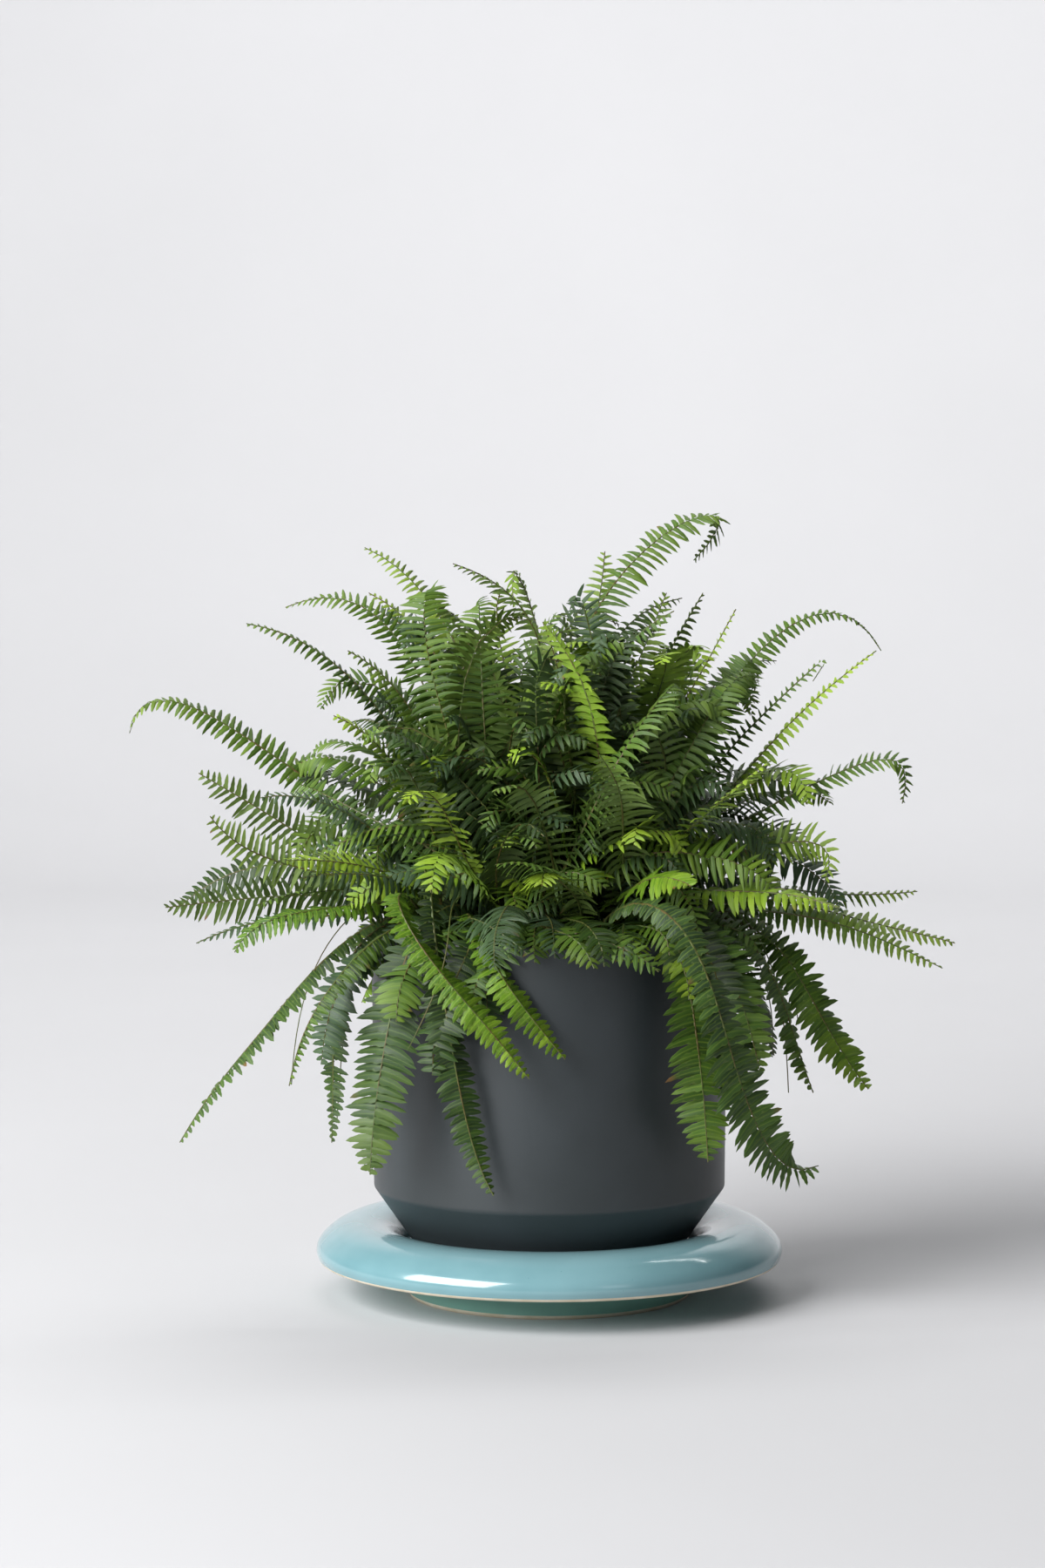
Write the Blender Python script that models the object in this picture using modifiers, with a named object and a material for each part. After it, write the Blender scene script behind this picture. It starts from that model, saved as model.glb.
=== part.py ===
"""Potted Boston fern: a charcoal planter filled with soil, standing in a glazed ring saucer, with arching fronds."""

import math
from typing import NamedTuple

import bmesh
import bpy
import numpy as np
from mathutils import Matrix
from mathutils.bvhtree import BVHTree

MM = 0.001

STEPS = 40
GAP = 0.3
WELL_FLOOR = 24

# Profiles are radius and height in mm, run down the outer side
SAUCER_PROFILE = (
    (0, WELL_FLOOR),
    (78, WELL_FLOOR),
    (81.5, 26.5),
    (83, 30.5),
    (86, 35.4),
    (90, 38.6),
    (95, 40.4),
    (102, 41.3),
    (111, 40.7),
    (119, 38.2),
    (125, 34),
    (129, 29.5),
    (130.2, 25),
    (129.6, 22),
    (127, 19.6),
    (104, 18.2),
    (86, 16.5),
    (81, 13),
    (79, 0),
    (0, 0),
)

POT_FOOT = WELL_FLOOR + GAP
POT_FLOOR = POT_FOOT + 7
POT_CREASE = 61
POT_TOP = 205
DRAIN_RADIUS = 7
POT_PROFILE = (
    (DRAIN_RADIUS, POT_FLOOR),
    (67.5, POT_FLOOR),
    (92.2, POT_CREASE + 4),
    (93.4, POT_TOP - 1.2),
    (94.4, POT_TOP),
    (98.2, POT_TOP),
    (99, POT_TOP - 1),
    (98, POT_CREASE),
    (73, POT_FOOT + 1),
    (71.8, POT_FOOT),
    (DRAIN_RADIUS, POT_FOOT),
)

SOIL_TOP = 190
SOIL_PROFILE = (
    (0, SOIL_TOP),
    (89, SOIL_TOP),
    (93, SOIL_TOP - 2.5),
    (91.8, POT_CREASE + 4.2),
    (67, POT_FLOOR + GAP),
    (0, POT_FLOOR + GAP),
)

HOLE_GAP = 0.35
CROWN_RADIUS = 21
CROWN_FOOT = SOIL_TOP - 26
CROWN_PROFILE = (
    (0, SOIL_TOP + 5),
    (9, SOIL_TOP + 4.2),
    (16, SOIL_TOP + 1.5),
    (CROWN_RADIUS, SOIL_TOP - 4),
    (18, SOIL_TOP - 16),
    (9, CROWN_FOOT),
    (0, CROWN_FOOT),
)
PIT_PROFILE = (
    (0, SOIL_TOP + 8),
    (CROWN_RADIUS + HOLE_GAP, SOIL_TOP + 8),
    (CROWN_RADIUS + HOLE_GAP, SOIL_TOP - 4),
    (18 + HOLE_GAP, SOIL_TOP - 16),
    (9 + HOLE_GAP, CROWN_FOOT - HOLE_GAP),
    (0, CROWN_FOOT - HOLE_GAP),
)

# A frond: a square midrib with a pair of leaflets to each segment
STEM_HALF = 1.15
STEM_TIP_HALF = 0.5
STEM_DEPTH = 12
SPROUT = 40
BARE_SHARE = 0.16
CROWN_BARE_SHARE = 0.36
BARE_SEGMENTS = 2
LAST_LEAFLET = 0.965
LEAF_PITCH = 17.5
LEAST_PAIRS = 8
MOST_PAIRS = 14
LEAF_HALF_THICK = 0.36
LEAF_FORWARD = 0.30
LEAF_DROOP = 0.16
WIDEST_AT = 0.2

# The viewer who sees the tips listed below: distance to the pot's axis and height above the table
VIEW_AWAY = 2253
VIEW_UP = 450

# Filler fronds: reach and tip height that go with the launch angle
FILLERS = 18
CROWN_FILLERS = 4
FILLER_SEED = 32
FILLER_DRAWS = 6000
CLEAR = 0.4
RISES = (18, 40, 60, 70, 86)
REACHES = (200, 212, 180, 128, 55)
HEIGHTS = (120, 252, 345, 385, 405)


class Frond(NamedTuple):
    """One frond, in mm and degrees.

    Its tip as seen from the front in the plane of the pot's axis, and how far the tip lies toward the viewer.
    The angle it rises at and the angle its tip falls at, and how far from the tip that fall starts, as a share.
    The length of a leaflet, the roll of its face, the sideways veer of its foot, its leaf colour, how far the
    rise carries, as a share, and how far its foot stands from the middle where that isn't left to the rise.
    """

    seen_x: float
    toward: float
    seen_z: float
    rise: float
    fall: float
    hold: float = 0.35
    width: float = 16
    roll: float = 0
    veer: float = 0
    leaf: str = "leaf_mid"
    push: float = 0.42
    foot: float = 0


LEFT_FRONDS = (
    Frond(-234, 0, 313, 43, -75, 0.32, 13),
    Frond(-195, 22, 291, 38, 32, 0.30, 16, 45),
    Frond(-189, 62, 267, 38, 55, 0.25, 16, 55),
    Frond(-214, 18, 216, 28, -8, 0.40, 17, 65),
    Frond(-197, 34, 196, 22, -25, 0.30, 10, 0, 0, "leaf_dark"),
    Frond(-176, 85, 191, 30, -60, 0.30, 15, 20, 0, "leaf_bright"),
    Frond(-207, 56, 84, 48, -58, 0.35, 15, 20, 0, "leaf_mid", 0.20, 70),
    Frond(-122, 53, 84, 24, -88, 0.55, 15, 20, 0, "leaf_dark"),
    Frond(-146, 104, 116, 20, -75, 0.40, 11, 10),
    Frond(-101, 97, 66, 42, -86, 0.60, 19, 10, 8, "leaf_dark"),
    Frond(-148, 99, 242, 42, -5, 0.30, 15, 0, 0, "leaf_bright"),
    Frond(-80, 102, 275, 50, -40, 0.30, 17, 20, 0, "leaf_bright"),
    Frond(-98, 92, 312, 64, -15, 0.30, 18, 10, 0, "leaf_dark"),
    Frond(-120, 34, 323, 56, 20, 0.30, 15, 0, 0, "leaf_bright"),
    Frond(-112, 30, 359, 66, 25, 0.30, 14),
    Frond(-168, 0, 374, 61, 10, 0.40, 12),
    Frond(-146, -30, 383, 69, -22, 0.42, 13),
)

FRONT_FRONDS = (
    Frond(-32, 112, 54, 56, -51, 0.40, 12, 0, -35, "leaf_dark", 0.69, 71),
    Frond(-12, 121, 120, 34, -50, 0.61, 11, 0, -58, "leaf_bright", 0.90, 71),
    Frond(8, 112, 131, 33, -50, 0.63, 11, 0, -47, "leaf_bright", 0.63, 65),
    Frond(-5, 118, 228, 56, -45, 0.30, 18, 0, 0, "leaf_bright"),
    Frond(78, 104, 228, 55, -20, 0.30, 17, 0, 0, "leaf_bright"),
    Frond(28, 90, 298, 66, 30, 0.30, 18, 0, 18),
    Frond(88, 104, 73, 38, -84, 0.55, 19),
)

RIGHT_FRONDS = (
    Frond(150, 74, 71, 39, 18, 0.47, 19, -10, -42, "leaf_mid", 0.68, 54),
    Frond(117, 92, 123, 48, -80, 0.50, 16, -10),
    Frond(178, 26, 114, 22, -50, 0.40, 16, -20),
    Frond(147, 50, 112, 40, -70, 0.40, 14, -30, 0, "leaf_mid", 0.42, 62),
    Frond(219, 12, 182, 27, -28, 0.30, 12),
    Frond(227, -8, 196, 30, -15, 0.30, 13, -20),
    Frond(205, -32, 225, 36, 5, 0.30, 12, -20),
    Frond(160, 78, 216, 51, -15, 0.30, 16, -20, 0, "leaf_bright"),
    Frond(196, 0, 274, 48, -105, 0.45, 14, -30),
    Frond(153, 34, 231, 56, -112, 0.45, 15, -20),
    Frond(184, -45, 359, 69, -60, 0.40, 13),
    Frond(146, 0, 342, 66, -125, 0.35, 10),
    Frond(181, 12, 359, 55, 36, 0.30, 12, 0, 0, "leaf_bright"),
    Frond(122, 86, 298, 58, 35, 0.30, 16, -15, 0, "leaf_bright"),
)

CROWN_FRONDS = (
    Frond(80, -40, 409, 110, -143, 0.53, 16, -30, -11, "leaf_mid", 0.98),
    Frond(-20, -10, 383, 75, -80, 0.45, 17, 40, -130),
    Frond(31, -60, 414, 86, 82, 0.30, 17),
    Frond(-27, -70, 391, 86, 150, 0.15, 16),
    Frond(-4, 30, 375, 88, 68, 0.30, 18, 0, 77),
    Frond(65, -40, 391, 78, 62, 0.30, 16),
    Frond(85, -10, 391, 74, 58, 0.30, 15, -40),
    Frond(103, 25, 382, 68, 60, 0.30, 10),
    Frond(-102, -45, 416, 76, 20, 0.30, 13),
    Frond(-100, -15, 391, 72, 25, 0.30, 11),
    Frond(-73, 25, 386, 80, 5, 0.30, 18, 30),
    Frond(64, 30, 319, 80, 75, 0.30, 18),
)

MATERIALS = {
    "glaze": ("9CC9CF", 0.12),
    "pot_body": ("3A3F43", 0.62),
    "soil_mix": ("2E211A", 0.95),
    "leaf_dark": ("2F5A26", 0.55),
    "leaf_mid": ("3F7A2C", 0.5),
    "leaf_bright": ("8FBF2F", 0.5),
}
FILLER_LEAVES = ("leaf_mid", "leaf_dark")


def linear(code):
    """sRGB hex to linear colour."""
    raw = [int(code[i : i + 2], 16) / 255 for i in (0, 2, 4)]
    return [c / 12.92 if c <= 0.04045 else ((c + 0.055) / 1.055) ** 2.4 for c in raw]


def material(name):
    """One Principled material, made once."""
    made = bpy.data.materials.get(name)
    if made:
        return made
    code, roughness = MATERIALS[name]
    made = bpy.data.materials.new(name)
    made.use_nodes = True
    shader = made.node_tree.nodes["Principled BSDF"]
    shader.inputs["Base Color"].default_value = (*linear(code), 1)
    shader.inputs["Roughness"].default_value = roughness
    shader.inputs["Metallic"].default_value = 0
    made.diffuse_color = (*linear(code), 1)
    return made


def collection(name, hidden=False):
    """A collection linked to the scene."""
    made = bpy.data.collections.new(name)
    bpy.context.scene.collection.children.link(made)
    made.hide_render = hidden
    return made


def placed(name, mesh, home, look):
    """An object for a mesh, with its material."""
    obj = bpy.data.objects.new(name, mesh)
    home.objects.link(obj)
    mesh.materials.append(material(look))
    return obj


def turned(name, profile, home, look):
    """A profile turned about the upright axis: one that starts on the axis ends there, any other closes on itself."""
    count = len(profile)
    ring = profile[0][0] > 0
    edges = [(i, (i + 1) % count) for i in range(count if ring else count - 1)]
    mesh = bpy.data.meshes.new(name)
    mesh.from_pydata([(r * MM, 0, z * MM) for r, z in profile], edges, [])
    obj = placed(name, mesh, home, look)
    screw = obj.modifiers.new("turn", "SCREW")
    screw.axis = "Z"
    screw.angle = math.tau
    screw.steps = STEPS
    screw.render_steps = STEPS
    screw.use_merge_vertices = True
    screw.merge_threshold = 0.00001
    screw.use_smooth_shade = True
    return obj


def applied(obj):
    """The object with its modifiers made into its own mesh."""
    graph = bpy.context.evaluated_depsgraph_get()
    mesh = bpy.data.meshes.new_from_object(obj.evaluated_get(graph))
    obj.modifiers.clear()
    obj.data = mesh
    return obj


def cutter(obj):
    """A helper that only cuts."""
    obj.hide_render = True
    obj.display_type = "WIRE"
    return obj


def way(elevation, bearing):
    """Unit vector at an elevation and a bearing in degrees."""
    e, b = math.radians(elevation), math.radians(bearing)
    return np.array([math.cos(e) * math.cos(b), math.cos(e) * math.sin(b), math.sin(e)])


def tip_of(frond):
    """Tip in the part's frame: what is nearer the viewer is smaller than it looks."""
    k = (VIEW_AWAY - frond.toward) / VIEW_AWAY
    return np.array([frond.seen_x * k, -frond.toward, VIEW_UP - (VIEW_UP - frond.seen_z) * k])


def root_of(frond, in_crown):
    """Where the stem leaves the soil: the steeper the frond, the nearer the middle."""
    tip = tip_of(frond)
    bearing = math.atan2(tip[1], tip[0]) + math.radians(frond.veer)
    lean = 1 - min(frond.rise, 90) / 90
    radius = frond.foot or (5 + 30 * lean if in_crown else 12 + 66 * lean)
    return np.array([radius * math.cos(bearing), radius * math.sin(bearing), SOIL_TOP])


def spine(frond, root, shares):
    """Points, headings, sideways and upward directions at shares of the length, and the length in mm.

    The midrib is a Bezier curve of five handles: the root, a sprout straight up, the rise, the fall and the tip.
    """
    tip = tip_of(frond)
    chord = np.linalg.norm(tip - root)
    carry = (chord + max(0, SOIL_TOP - tip[2])) * frond.push
    go = math.degrees(math.atan2(tip[1] - root[1], tip[0] - root[0]))
    handles = (
        root,
        root + np.array([0, 0, SPROUT]),
        root + way(frond.rise, go + frond.veer) * carry,
        tip - way(frond.fall, go - frond.veer) * chord * frond.hold,
        tip,
    )

    def at(v):
        return sum(math.comb(4, k) * (1 - v) ** (4 - k) * v**k * handles[k] for k in range(5))

    fine = np.linspace(0, 1, 161)[:, None]
    steps = np.linalg.norm(np.diff(at(fine), axis=0), axis=1)
    arc = np.concatenate([[0], np.cumsum(steps)])
    shares = np.asarray(shares)
    v = np.interp(shares * arc[-1], arc, fine[:, 0])[:, None]
    ahead = at(np.clip(v + 0.004, 0, 1)) - at(np.clip(v - 0.004, 0, 1))
    ahead /= np.linalg.norm(ahead, axis=1)[:, None]
    level = way(0, go + 90)
    side = level - (ahead @ level)[:, None] * ahead
    side /= np.linalg.norm(side, axis=1)[:, None]
    turn = math.radians(frond.roll) * np.clip(shares / 0.35, 0, 1)[:, None]
    side = side * np.cos(turn) + np.cross(ahead, side) * np.sin(turn)
    return at(v), ahead, side, np.cross(ahead, side), arc[-1]


def leaflet_length(frond, share):
    """Leaflet length at a share of the leafy part: it swells to the widest place, then tapers to a fine tip."""
    grow = 0.45 + 0.55 * np.clip(share / WIDEST_AT, 0, 1) ** 0.8
    taper = (1 - np.clip((share - WIDEST_AT) / (1 - WIDEST_AT), 0, 1) ** 2) ** 0.85
    return frond.width * grow * (0.12 + 0.88 * taper)


def frond_shape(frond, in_crown, swell=0.0):
    """Points and triangles of one frond: a square midrib whose side walls are drawn out into pointed leaflets.

    Its rings of four corners follow the spine. Each leaflet stands on one segment's wall and ends in a short
    upright edge, so notches reach the rib. Both faces are split into triangles alike. swell makes a fatter copy.
    """
    root = root_of(frond, in_crown)
    length = spine(frond, root, [0, 1])[4]
    bare_share = CROWN_BARE_SHARE if in_crown else BARE_SHARE
    pairs = round(length * (1 - bare_share) / LEAF_PITCH)
    pairs = max(LEAST_PAIRS, min(MOST_PAIRS, pairs))
    bare = np.linspace(0, bare_share, BARE_SEGMENTS + 1)
    leafy = np.linspace(bare_share, bare_share + (1 - bare_share) * LAST_LEAFLET, pairs + 1)
    shares = np.concatenate([bare, leafy[1:]])
    spots, ahead, side, up, _ = spine(frond, root, shares)
    half = (STEM_HALF + (STEM_TIP_HALF - STEM_HALF) * shares)[:, None] + swell
    corners = [spots + side * half * a + up * half * b for a, b in ((1, 0.9), (-1, 0.9), (-1, -0.9), (1, -0.9))]
    points = [c[0] - [0, 0, STEM_DEPTH] for c in corners]
    points += [c[i] for i in range(len(shares)) for c in corners]
    faces = [(0, 2, 1), (0, 3, 2)]

    middle = (leafy[1:] + leafy[:-1]) / 2
    spots, ahead, side, up, _ = spine(frond, root, middle)
    long = leaflet_length(frond, (middle - BARE_SHARE) / (1 - BARE_SHARE))[:, None] + swell
    out = spots + ahead * long * LEAF_FORWARD - up * long * LEAF_DROOP
    thick = up * (LEAF_HALF_THICK + swell)
    for ring in range(len(shares)):
        a, b = ring * 4, ring * 4 + 4
        faces += [(a, a + 1, b), (a + 1, b + 1, b), (b + 3, a + 2, a + 3), (b + 2, a + 2, b + 3)]
        leaf = ring - BARE_SEGMENTS - 1
        if leaf < 0:
            faces += [(a + 3, a, b + 3), (b + 3, a, b), (a + 1, a + 2, b + 2), (b + 1, a + 1, b + 2)]
            continue
        for sign, top, low in ((1, 0, 3), (-1, 1, 2)):
            t = len(points)
            end = out[leaf] + side[leaf] * sign * long[leaf]
            points += [end + thick[leaf], end - thick[leaf]]
            skin = (
                (t, a + top, b + top),
                (b + low, a + low, t + 1),
                (a + low, a + top, t + 1),
                (t + 1, a + top, t),
                (t, b + top, t + 1),
                (t + 1, b + top, b + low),
            )
            faces += [f if sign > 0 else f[::-1] for f in skin]

    last = len(shares) * 4
    end, _, _, up, _ = spine(frond, root, [1])
    t = len(points)
    points += [end[0] + up[0] * LEAF_HALF_THICK, end[0] - up[0] * LEAF_HALF_THICK]
    faces += [(last, last + 1, t), (t + 1, last + 2, last + 3)]
    faces += [(last + 3, last, t + 1), (t + 1, last, t), (last + 1, last + 2, t + 1), (t, last + 1, t + 1)]
    return points, faces


def frond_object(name, frond, in_crown, home):
    """A frond as an object."""
    points, faces = frond_shape(frond, in_crown)
    mesh = bpy.data.meshes.new(name)
    mesh.from_pydata([[c * MM for c in p] for p in points], [], faces)
    return placed(name, mesh, home, frond.leaf)


def stem_hole(name, frond, home):
    """A square cutter around the foot of a frond, longer than the stem is deep."""
    root = root_of(frond, False)
    side = spine(frond, root, [0])[2][0]
    wide = 2 * (STEM_HALF + HOLE_GAP)
    tall = 2 * (STEM_DEPTH + HOLE_GAP)
    mesh = bpy.data.meshes.new(name)
    work = bmesh.new()
    bmesh.ops.create_cube(work, size=MM)
    work.transform(Matrix.Diagonal((wide, wide, tall, 1)))
    work.transform(Matrix.Rotation(math.atan2(side[1], side[0]), 4, "Z"))
    work.transform(Matrix.Translation([c * MM for c in root]))
    work.to_mesh(mesh)
    work.free()
    return cutter(placed(name, mesh, home, "soil_mix"))


def tree_of(frond, in_crown, swell=0.0):
    """Search tree of a frond's triangles."""
    points, faces = frond_shape(frond, in_crown, swell)
    return BVHTree.FromPolygons([tuple(p) for p in points], faces)


def filler(draw, least_rise, most_rise):
    """A frond of the round head, drawn at random."""
    bearing = math.radians(draw.uniform(0, 360))
    rise = draw.uniform(least_rise, most_rise)
    out = np.interp(rise, RISES, REACHES) * draw.uniform(0.86, 1.04)
    high = np.interp(rise, RISES, HEIGHTS) + draw.uniform(-25, 12)
    fall = min(-75 + 95 * (rise - 18) / 52, 20) + draw.uniform(-22, 22)
    toward = -out * math.sin(bearing)
    k = (VIEW_AWAY - toward) / VIEW_AWAY
    return Frond(
        seen_x=out * math.cos(bearing) / k,
        toward=toward,
        seen_z=VIEW_UP - (VIEW_UP - high) / k,
        rise=rise,
        fall=fall,
        hold=draw.uniform(0.28, 0.45),
        width=draw.uniform(13, 18),
        roll=draw.uniform(-25, 25),
        veer=draw.uniform(-8, 8),
        leaf=FILLER_LEAVES[draw.integers(2)],
    )


def all_fronds():
    """Free fronds and crown fronds: the listed ones, then fillers that clear what they don't grow together with."""
    free = list(LEFT_FRONDS + FRONT_FRONDS + RIGHT_FRONDS)
    inner = list(CROWN_FRONDS)
    free_trees = [tree_of(f, False) for f in free]
    inner_trees = [tree_of(f, True) for f in inner]
    wanted = len(free) + FILLERS
    draw = np.random.default_rng(FILLER_SEED)
    for _ in range(FILLER_DRAWS):
        if len(free) == wanted:
            break
        frond = filler(draw, 18, 70)
        trial = tree_of(frond, False, CLEAR)
        if not any(trial.overlap(tree) for tree in free_trees + inner_trees):
            free.append(frond)
            free_trees.append(tree_of(frond, False))
    wanted = len(inner) + CROWN_FILLERS
    for _ in range(FILLER_DRAWS):
        if len(inner) == wanted:
            break
        frond = filler(draw, 72, 86)
        trial = tree_of(frond, True, CLEAR)
        if not any(trial.overlap(tree) for tree in free_trees):
            inner.append(frond)
    return free, inner


for old in list(bpy.data.objects):
    bpy.data.objects.remove(old, do_unlink=True)

fern = collection("potted_boston_fern")
cutters = collection("cutters", hidden=True)

turned("saucer", SAUCER_PROFILE, fern, "glaze")
turned("pot", POT_PROFILE, fern, "pot_body")
soil = turned("soil", SOIL_PROFILE, fern, "soil_mix")

# Free fronds, each in its own hole in the soil
free_fronds, inner_fronds = all_fronds()
for number, frond in enumerate(free_fronds, 1):
    frond_object(f"frond_{number:02d}", frond, False, fern)
    stem_hole(f"hole_{number:02d}", frond, cutters)
cutter(applied(turned("crown_pit", PIT_PROFILE, cutters, "soil_mix")))
holes = soil.modifiers.new("holes", "BOOLEAN")
holes.operation = "DIFFERENCE"
holes.operand_type = "COLLECTION"
holes.collection = cutters
holes.solver = "EXACT"

# The crown: a rootstock with the inner fronds grown together on it
growth = collection("crown_growth", hidden=True)
for number, frond in enumerate(inner_fronds, 1):
    frond_object(f"inner_{number:02d}", frond, True, growth)
crown = applied(turned("crown", CROWN_PROFILE, fern, "leaf_mid"))
joined = crown.modifiers.new("fronds", "BOOLEAN")
joined.operation = "UNION"
joined.operand_type = "COLLECTION"
joined.collection = growth
joined.solver = "MANIFOLD"
applied(crown)
for used in list(growth.objects):
    bpy.data.objects.remove(used, do_unlink=True)
bpy.data.collections.remove(growth)
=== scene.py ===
"""Looks of the potted Boston fern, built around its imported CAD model, in mm until a mesh is made."""

import math
from typing import NamedTuple

import bpy
import numpy as np
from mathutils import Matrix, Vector
from mathutils.bvhtree import BVHTree


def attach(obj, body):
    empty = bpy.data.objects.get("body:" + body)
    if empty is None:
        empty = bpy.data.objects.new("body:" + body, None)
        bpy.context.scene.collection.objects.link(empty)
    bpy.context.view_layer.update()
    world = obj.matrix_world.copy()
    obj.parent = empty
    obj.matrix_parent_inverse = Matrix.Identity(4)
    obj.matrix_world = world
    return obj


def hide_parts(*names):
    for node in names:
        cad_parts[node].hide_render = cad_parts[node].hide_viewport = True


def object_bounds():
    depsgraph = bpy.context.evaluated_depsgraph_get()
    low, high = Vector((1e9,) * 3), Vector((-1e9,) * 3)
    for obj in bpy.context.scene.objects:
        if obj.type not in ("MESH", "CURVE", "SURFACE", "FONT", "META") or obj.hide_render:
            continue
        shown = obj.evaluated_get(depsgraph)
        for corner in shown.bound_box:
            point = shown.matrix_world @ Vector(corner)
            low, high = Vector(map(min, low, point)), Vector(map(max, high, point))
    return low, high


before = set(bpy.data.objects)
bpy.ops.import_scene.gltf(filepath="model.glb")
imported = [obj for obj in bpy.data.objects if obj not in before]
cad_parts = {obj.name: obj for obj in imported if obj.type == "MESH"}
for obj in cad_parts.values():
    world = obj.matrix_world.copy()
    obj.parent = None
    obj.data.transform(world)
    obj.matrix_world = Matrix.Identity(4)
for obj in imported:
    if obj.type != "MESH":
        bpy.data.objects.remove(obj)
cad_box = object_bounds()

MM = 0.001

# Vessels, as in the part's source
WELL_FLOOR = 24
GAP = 0.3
POT_FOOT = WELL_FLOOR + GAP
POT_FLOOR = POT_FOOT + 7
POT_CREASE = 61
POT_TOP = 205
DRAIN_RADIUS = 7
SOIL_TOP = 190

# The plain fronds of the part's source
STEM_HALF = 1.15
STEM_TIP_HALF = 0.5
STEM_FLAT = 0.9
STEM_DEPTH = 12
SPROUT = 40
FREE_FEET = (12, 66)
CROWN_FEET = (5, 30)
ROLL_BY = 0.35
CURVE_STEPS = 161
NUDGE = 0.004
BARE_SHARE = 0.16
CROWN_BARE_SHARE = 0.36
BARE_SEGMENTS = 2
LAST_LEAFLET = 0.965
LEAF_PITCH = 17.5
LEAST_PAIRS = 8
MOST_PAIRS = 14
LEAF_HALF_THICK = 0.36
LEAF_FORWARD = 0.30
LEAF_DROOP = 0.16
FOOT_LENGTH = 0.45
TIP_LENGTH = 0.12
WIDEST_AT = 0.2
VIEW_AWAY = 2253
VIEW_UP = 450
FILLERS = 18
CROWN_FILLERS = 4
FILLER_SEED = 32
FILLER_DRAWS = 6000
CLEAR = 0.4
FREE_RISES = (18, 70)
CROWN_RISES = (72, 86)
RISES = (18, 40, 60, 70, 86)
REACHES = (200, 212, 180, 128, 55)
HEIGHTS = (120, 252, 345, 385, 405)
FILLER_LEAVES = ("leaf_mid", "leaf_dark")


class Frond(NamedTuple):
    """One frond, in mm and degrees, as in the part's source.

    Its tip as seen from the front in the plane of the pot's axis, and how far the tip lies toward the viewer.
    The angle it rises at, the angle its tip falls at, and how far from the tip that fall starts, as a share.
    The length of a leaflet, the roll of its face, the sideways veer of its foot, its leaf colour, how far the
    rise carries, as a share, and how far its foot stands from the middle where that isn't left to the rise.
    """

    seen_x: float
    toward: float
    seen_z: float
    rise: float
    fall: float
    hold: float = 0.35
    width: float = 16
    roll: float = 0
    veer: float = 0
    leaf: str = "leaf_mid"
    push: float = 0.42
    foot: float = 0


LEFT_FRONDS = (
    Frond(-234, 0, 313, 43, -75, 0.32, 13),
    Frond(-195, 22, 291, 38, 32, 0.30, 16, 45),
    Frond(-189, 62, 267, 38, 55, 0.25, 16, 55),
    Frond(-214, 18, 216, 28, -8, 0.40, 17, 65),
    Frond(-197, 34, 196, 22, -25, 0.30, 10, 0, 0, "leaf_dark"),
    Frond(-176, 85, 191, 30, -60, 0.30, 15, 20, 0, "leaf_bright"),
    Frond(-207, 56, 84, 48, -58, 0.35, 15, 20, 0, "leaf_mid", 0.20, 70),
    Frond(-122, 53, 84, 24, -88, 0.55, 15, 20, 0, "leaf_dark"),
    Frond(-146, 104, 116, 20, -75, 0.40, 11, 10),
    Frond(-101, 97, 66, 42, -86, 0.60, 19, 10, 8, "leaf_dark"),
    Frond(-148, 99, 242, 42, -5, 0.30, 15, 0, 0, "leaf_bright"),
    Frond(-80, 102, 275, 50, -40, 0.30, 17, 20, 0, "leaf_bright"),
    Frond(-98, 92, 312, 64, -15, 0.30, 18, 10, 0, "leaf_dark"),
    Frond(-120, 34, 323, 56, 20, 0.30, 15, 0, 0, "leaf_bright"),
    Frond(-112, 30, 359, 66, 25, 0.30, 14),
    Frond(-168, 0, 374, 61, 10, 0.40, 12),
    Frond(-146, -30, 383, 69, -22, 0.42, 13),
)

FRONT_FRONDS = (
    Frond(-32, 112, 54, 56, -51, 0.40, 12, 0, -35, "leaf_dark", 0.69, 71),
    Frond(-12, 121, 120, 34, -50, 0.61, 11, 0, -58, "leaf_bright", 0.90, 71),
    Frond(8, 112, 131, 33, -50, 0.63, 11, 0, -47, "leaf_bright", 0.63, 65),
    Frond(-5, 118, 228, 56, -45, 0.30, 18, 0, 0, "leaf_bright"),
    Frond(78, 104, 228, 55, -20, 0.30, 17, 0, 0, "leaf_bright"),
    Frond(28, 90, 298, 66, 30, 0.30, 18, 0, 18),
    Frond(88, 104, 73, 38, -84, 0.55, 19),
)

RIGHT_FRONDS = (
    Frond(150, 74, 71, 39, 18, 0.47, 19, -10, -42, "leaf_mid", 0.68, 54),
    Frond(117, 92, 123, 48, -80, 0.50, 16, -10),
    Frond(178, 26, 114, 22, -50, 0.40, 16, -20),
    Frond(147, 50, 112, 40, -70, 0.40, 14, -30, 0, "leaf_mid", 0.42, 62),
    Frond(219, 12, 182, 27, -28, 0.30, 12),
    Frond(227, -8, 196, 30, -15, 0.30, 13, -20),
    Frond(205, -32, 225, 36, 5, 0.30, 12, -20),
    Frond(160, 78, 216, 51, -15, 0.30, 16, -20, 0, "leaf_bright"),
    Frond(196, 0, 274, 48, -105, 0.45, 14, -30),
    Frond(153, 34, 231, 56, -112, 0.45, 15, -20),
    Frond(184, -45, 359, 69, -60, 0.40, 13),
    Frond(146, 0, 342, 66, -125, 0.35, 10),
    Frond(181, 12, 359, 55, 36, 0.30, 12, 0, 0, "leaf_bright"),
    Frond(122, 86, 298, 58, 35, 0.30, 16, -15, 0, "leaf_bright"),
)

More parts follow.
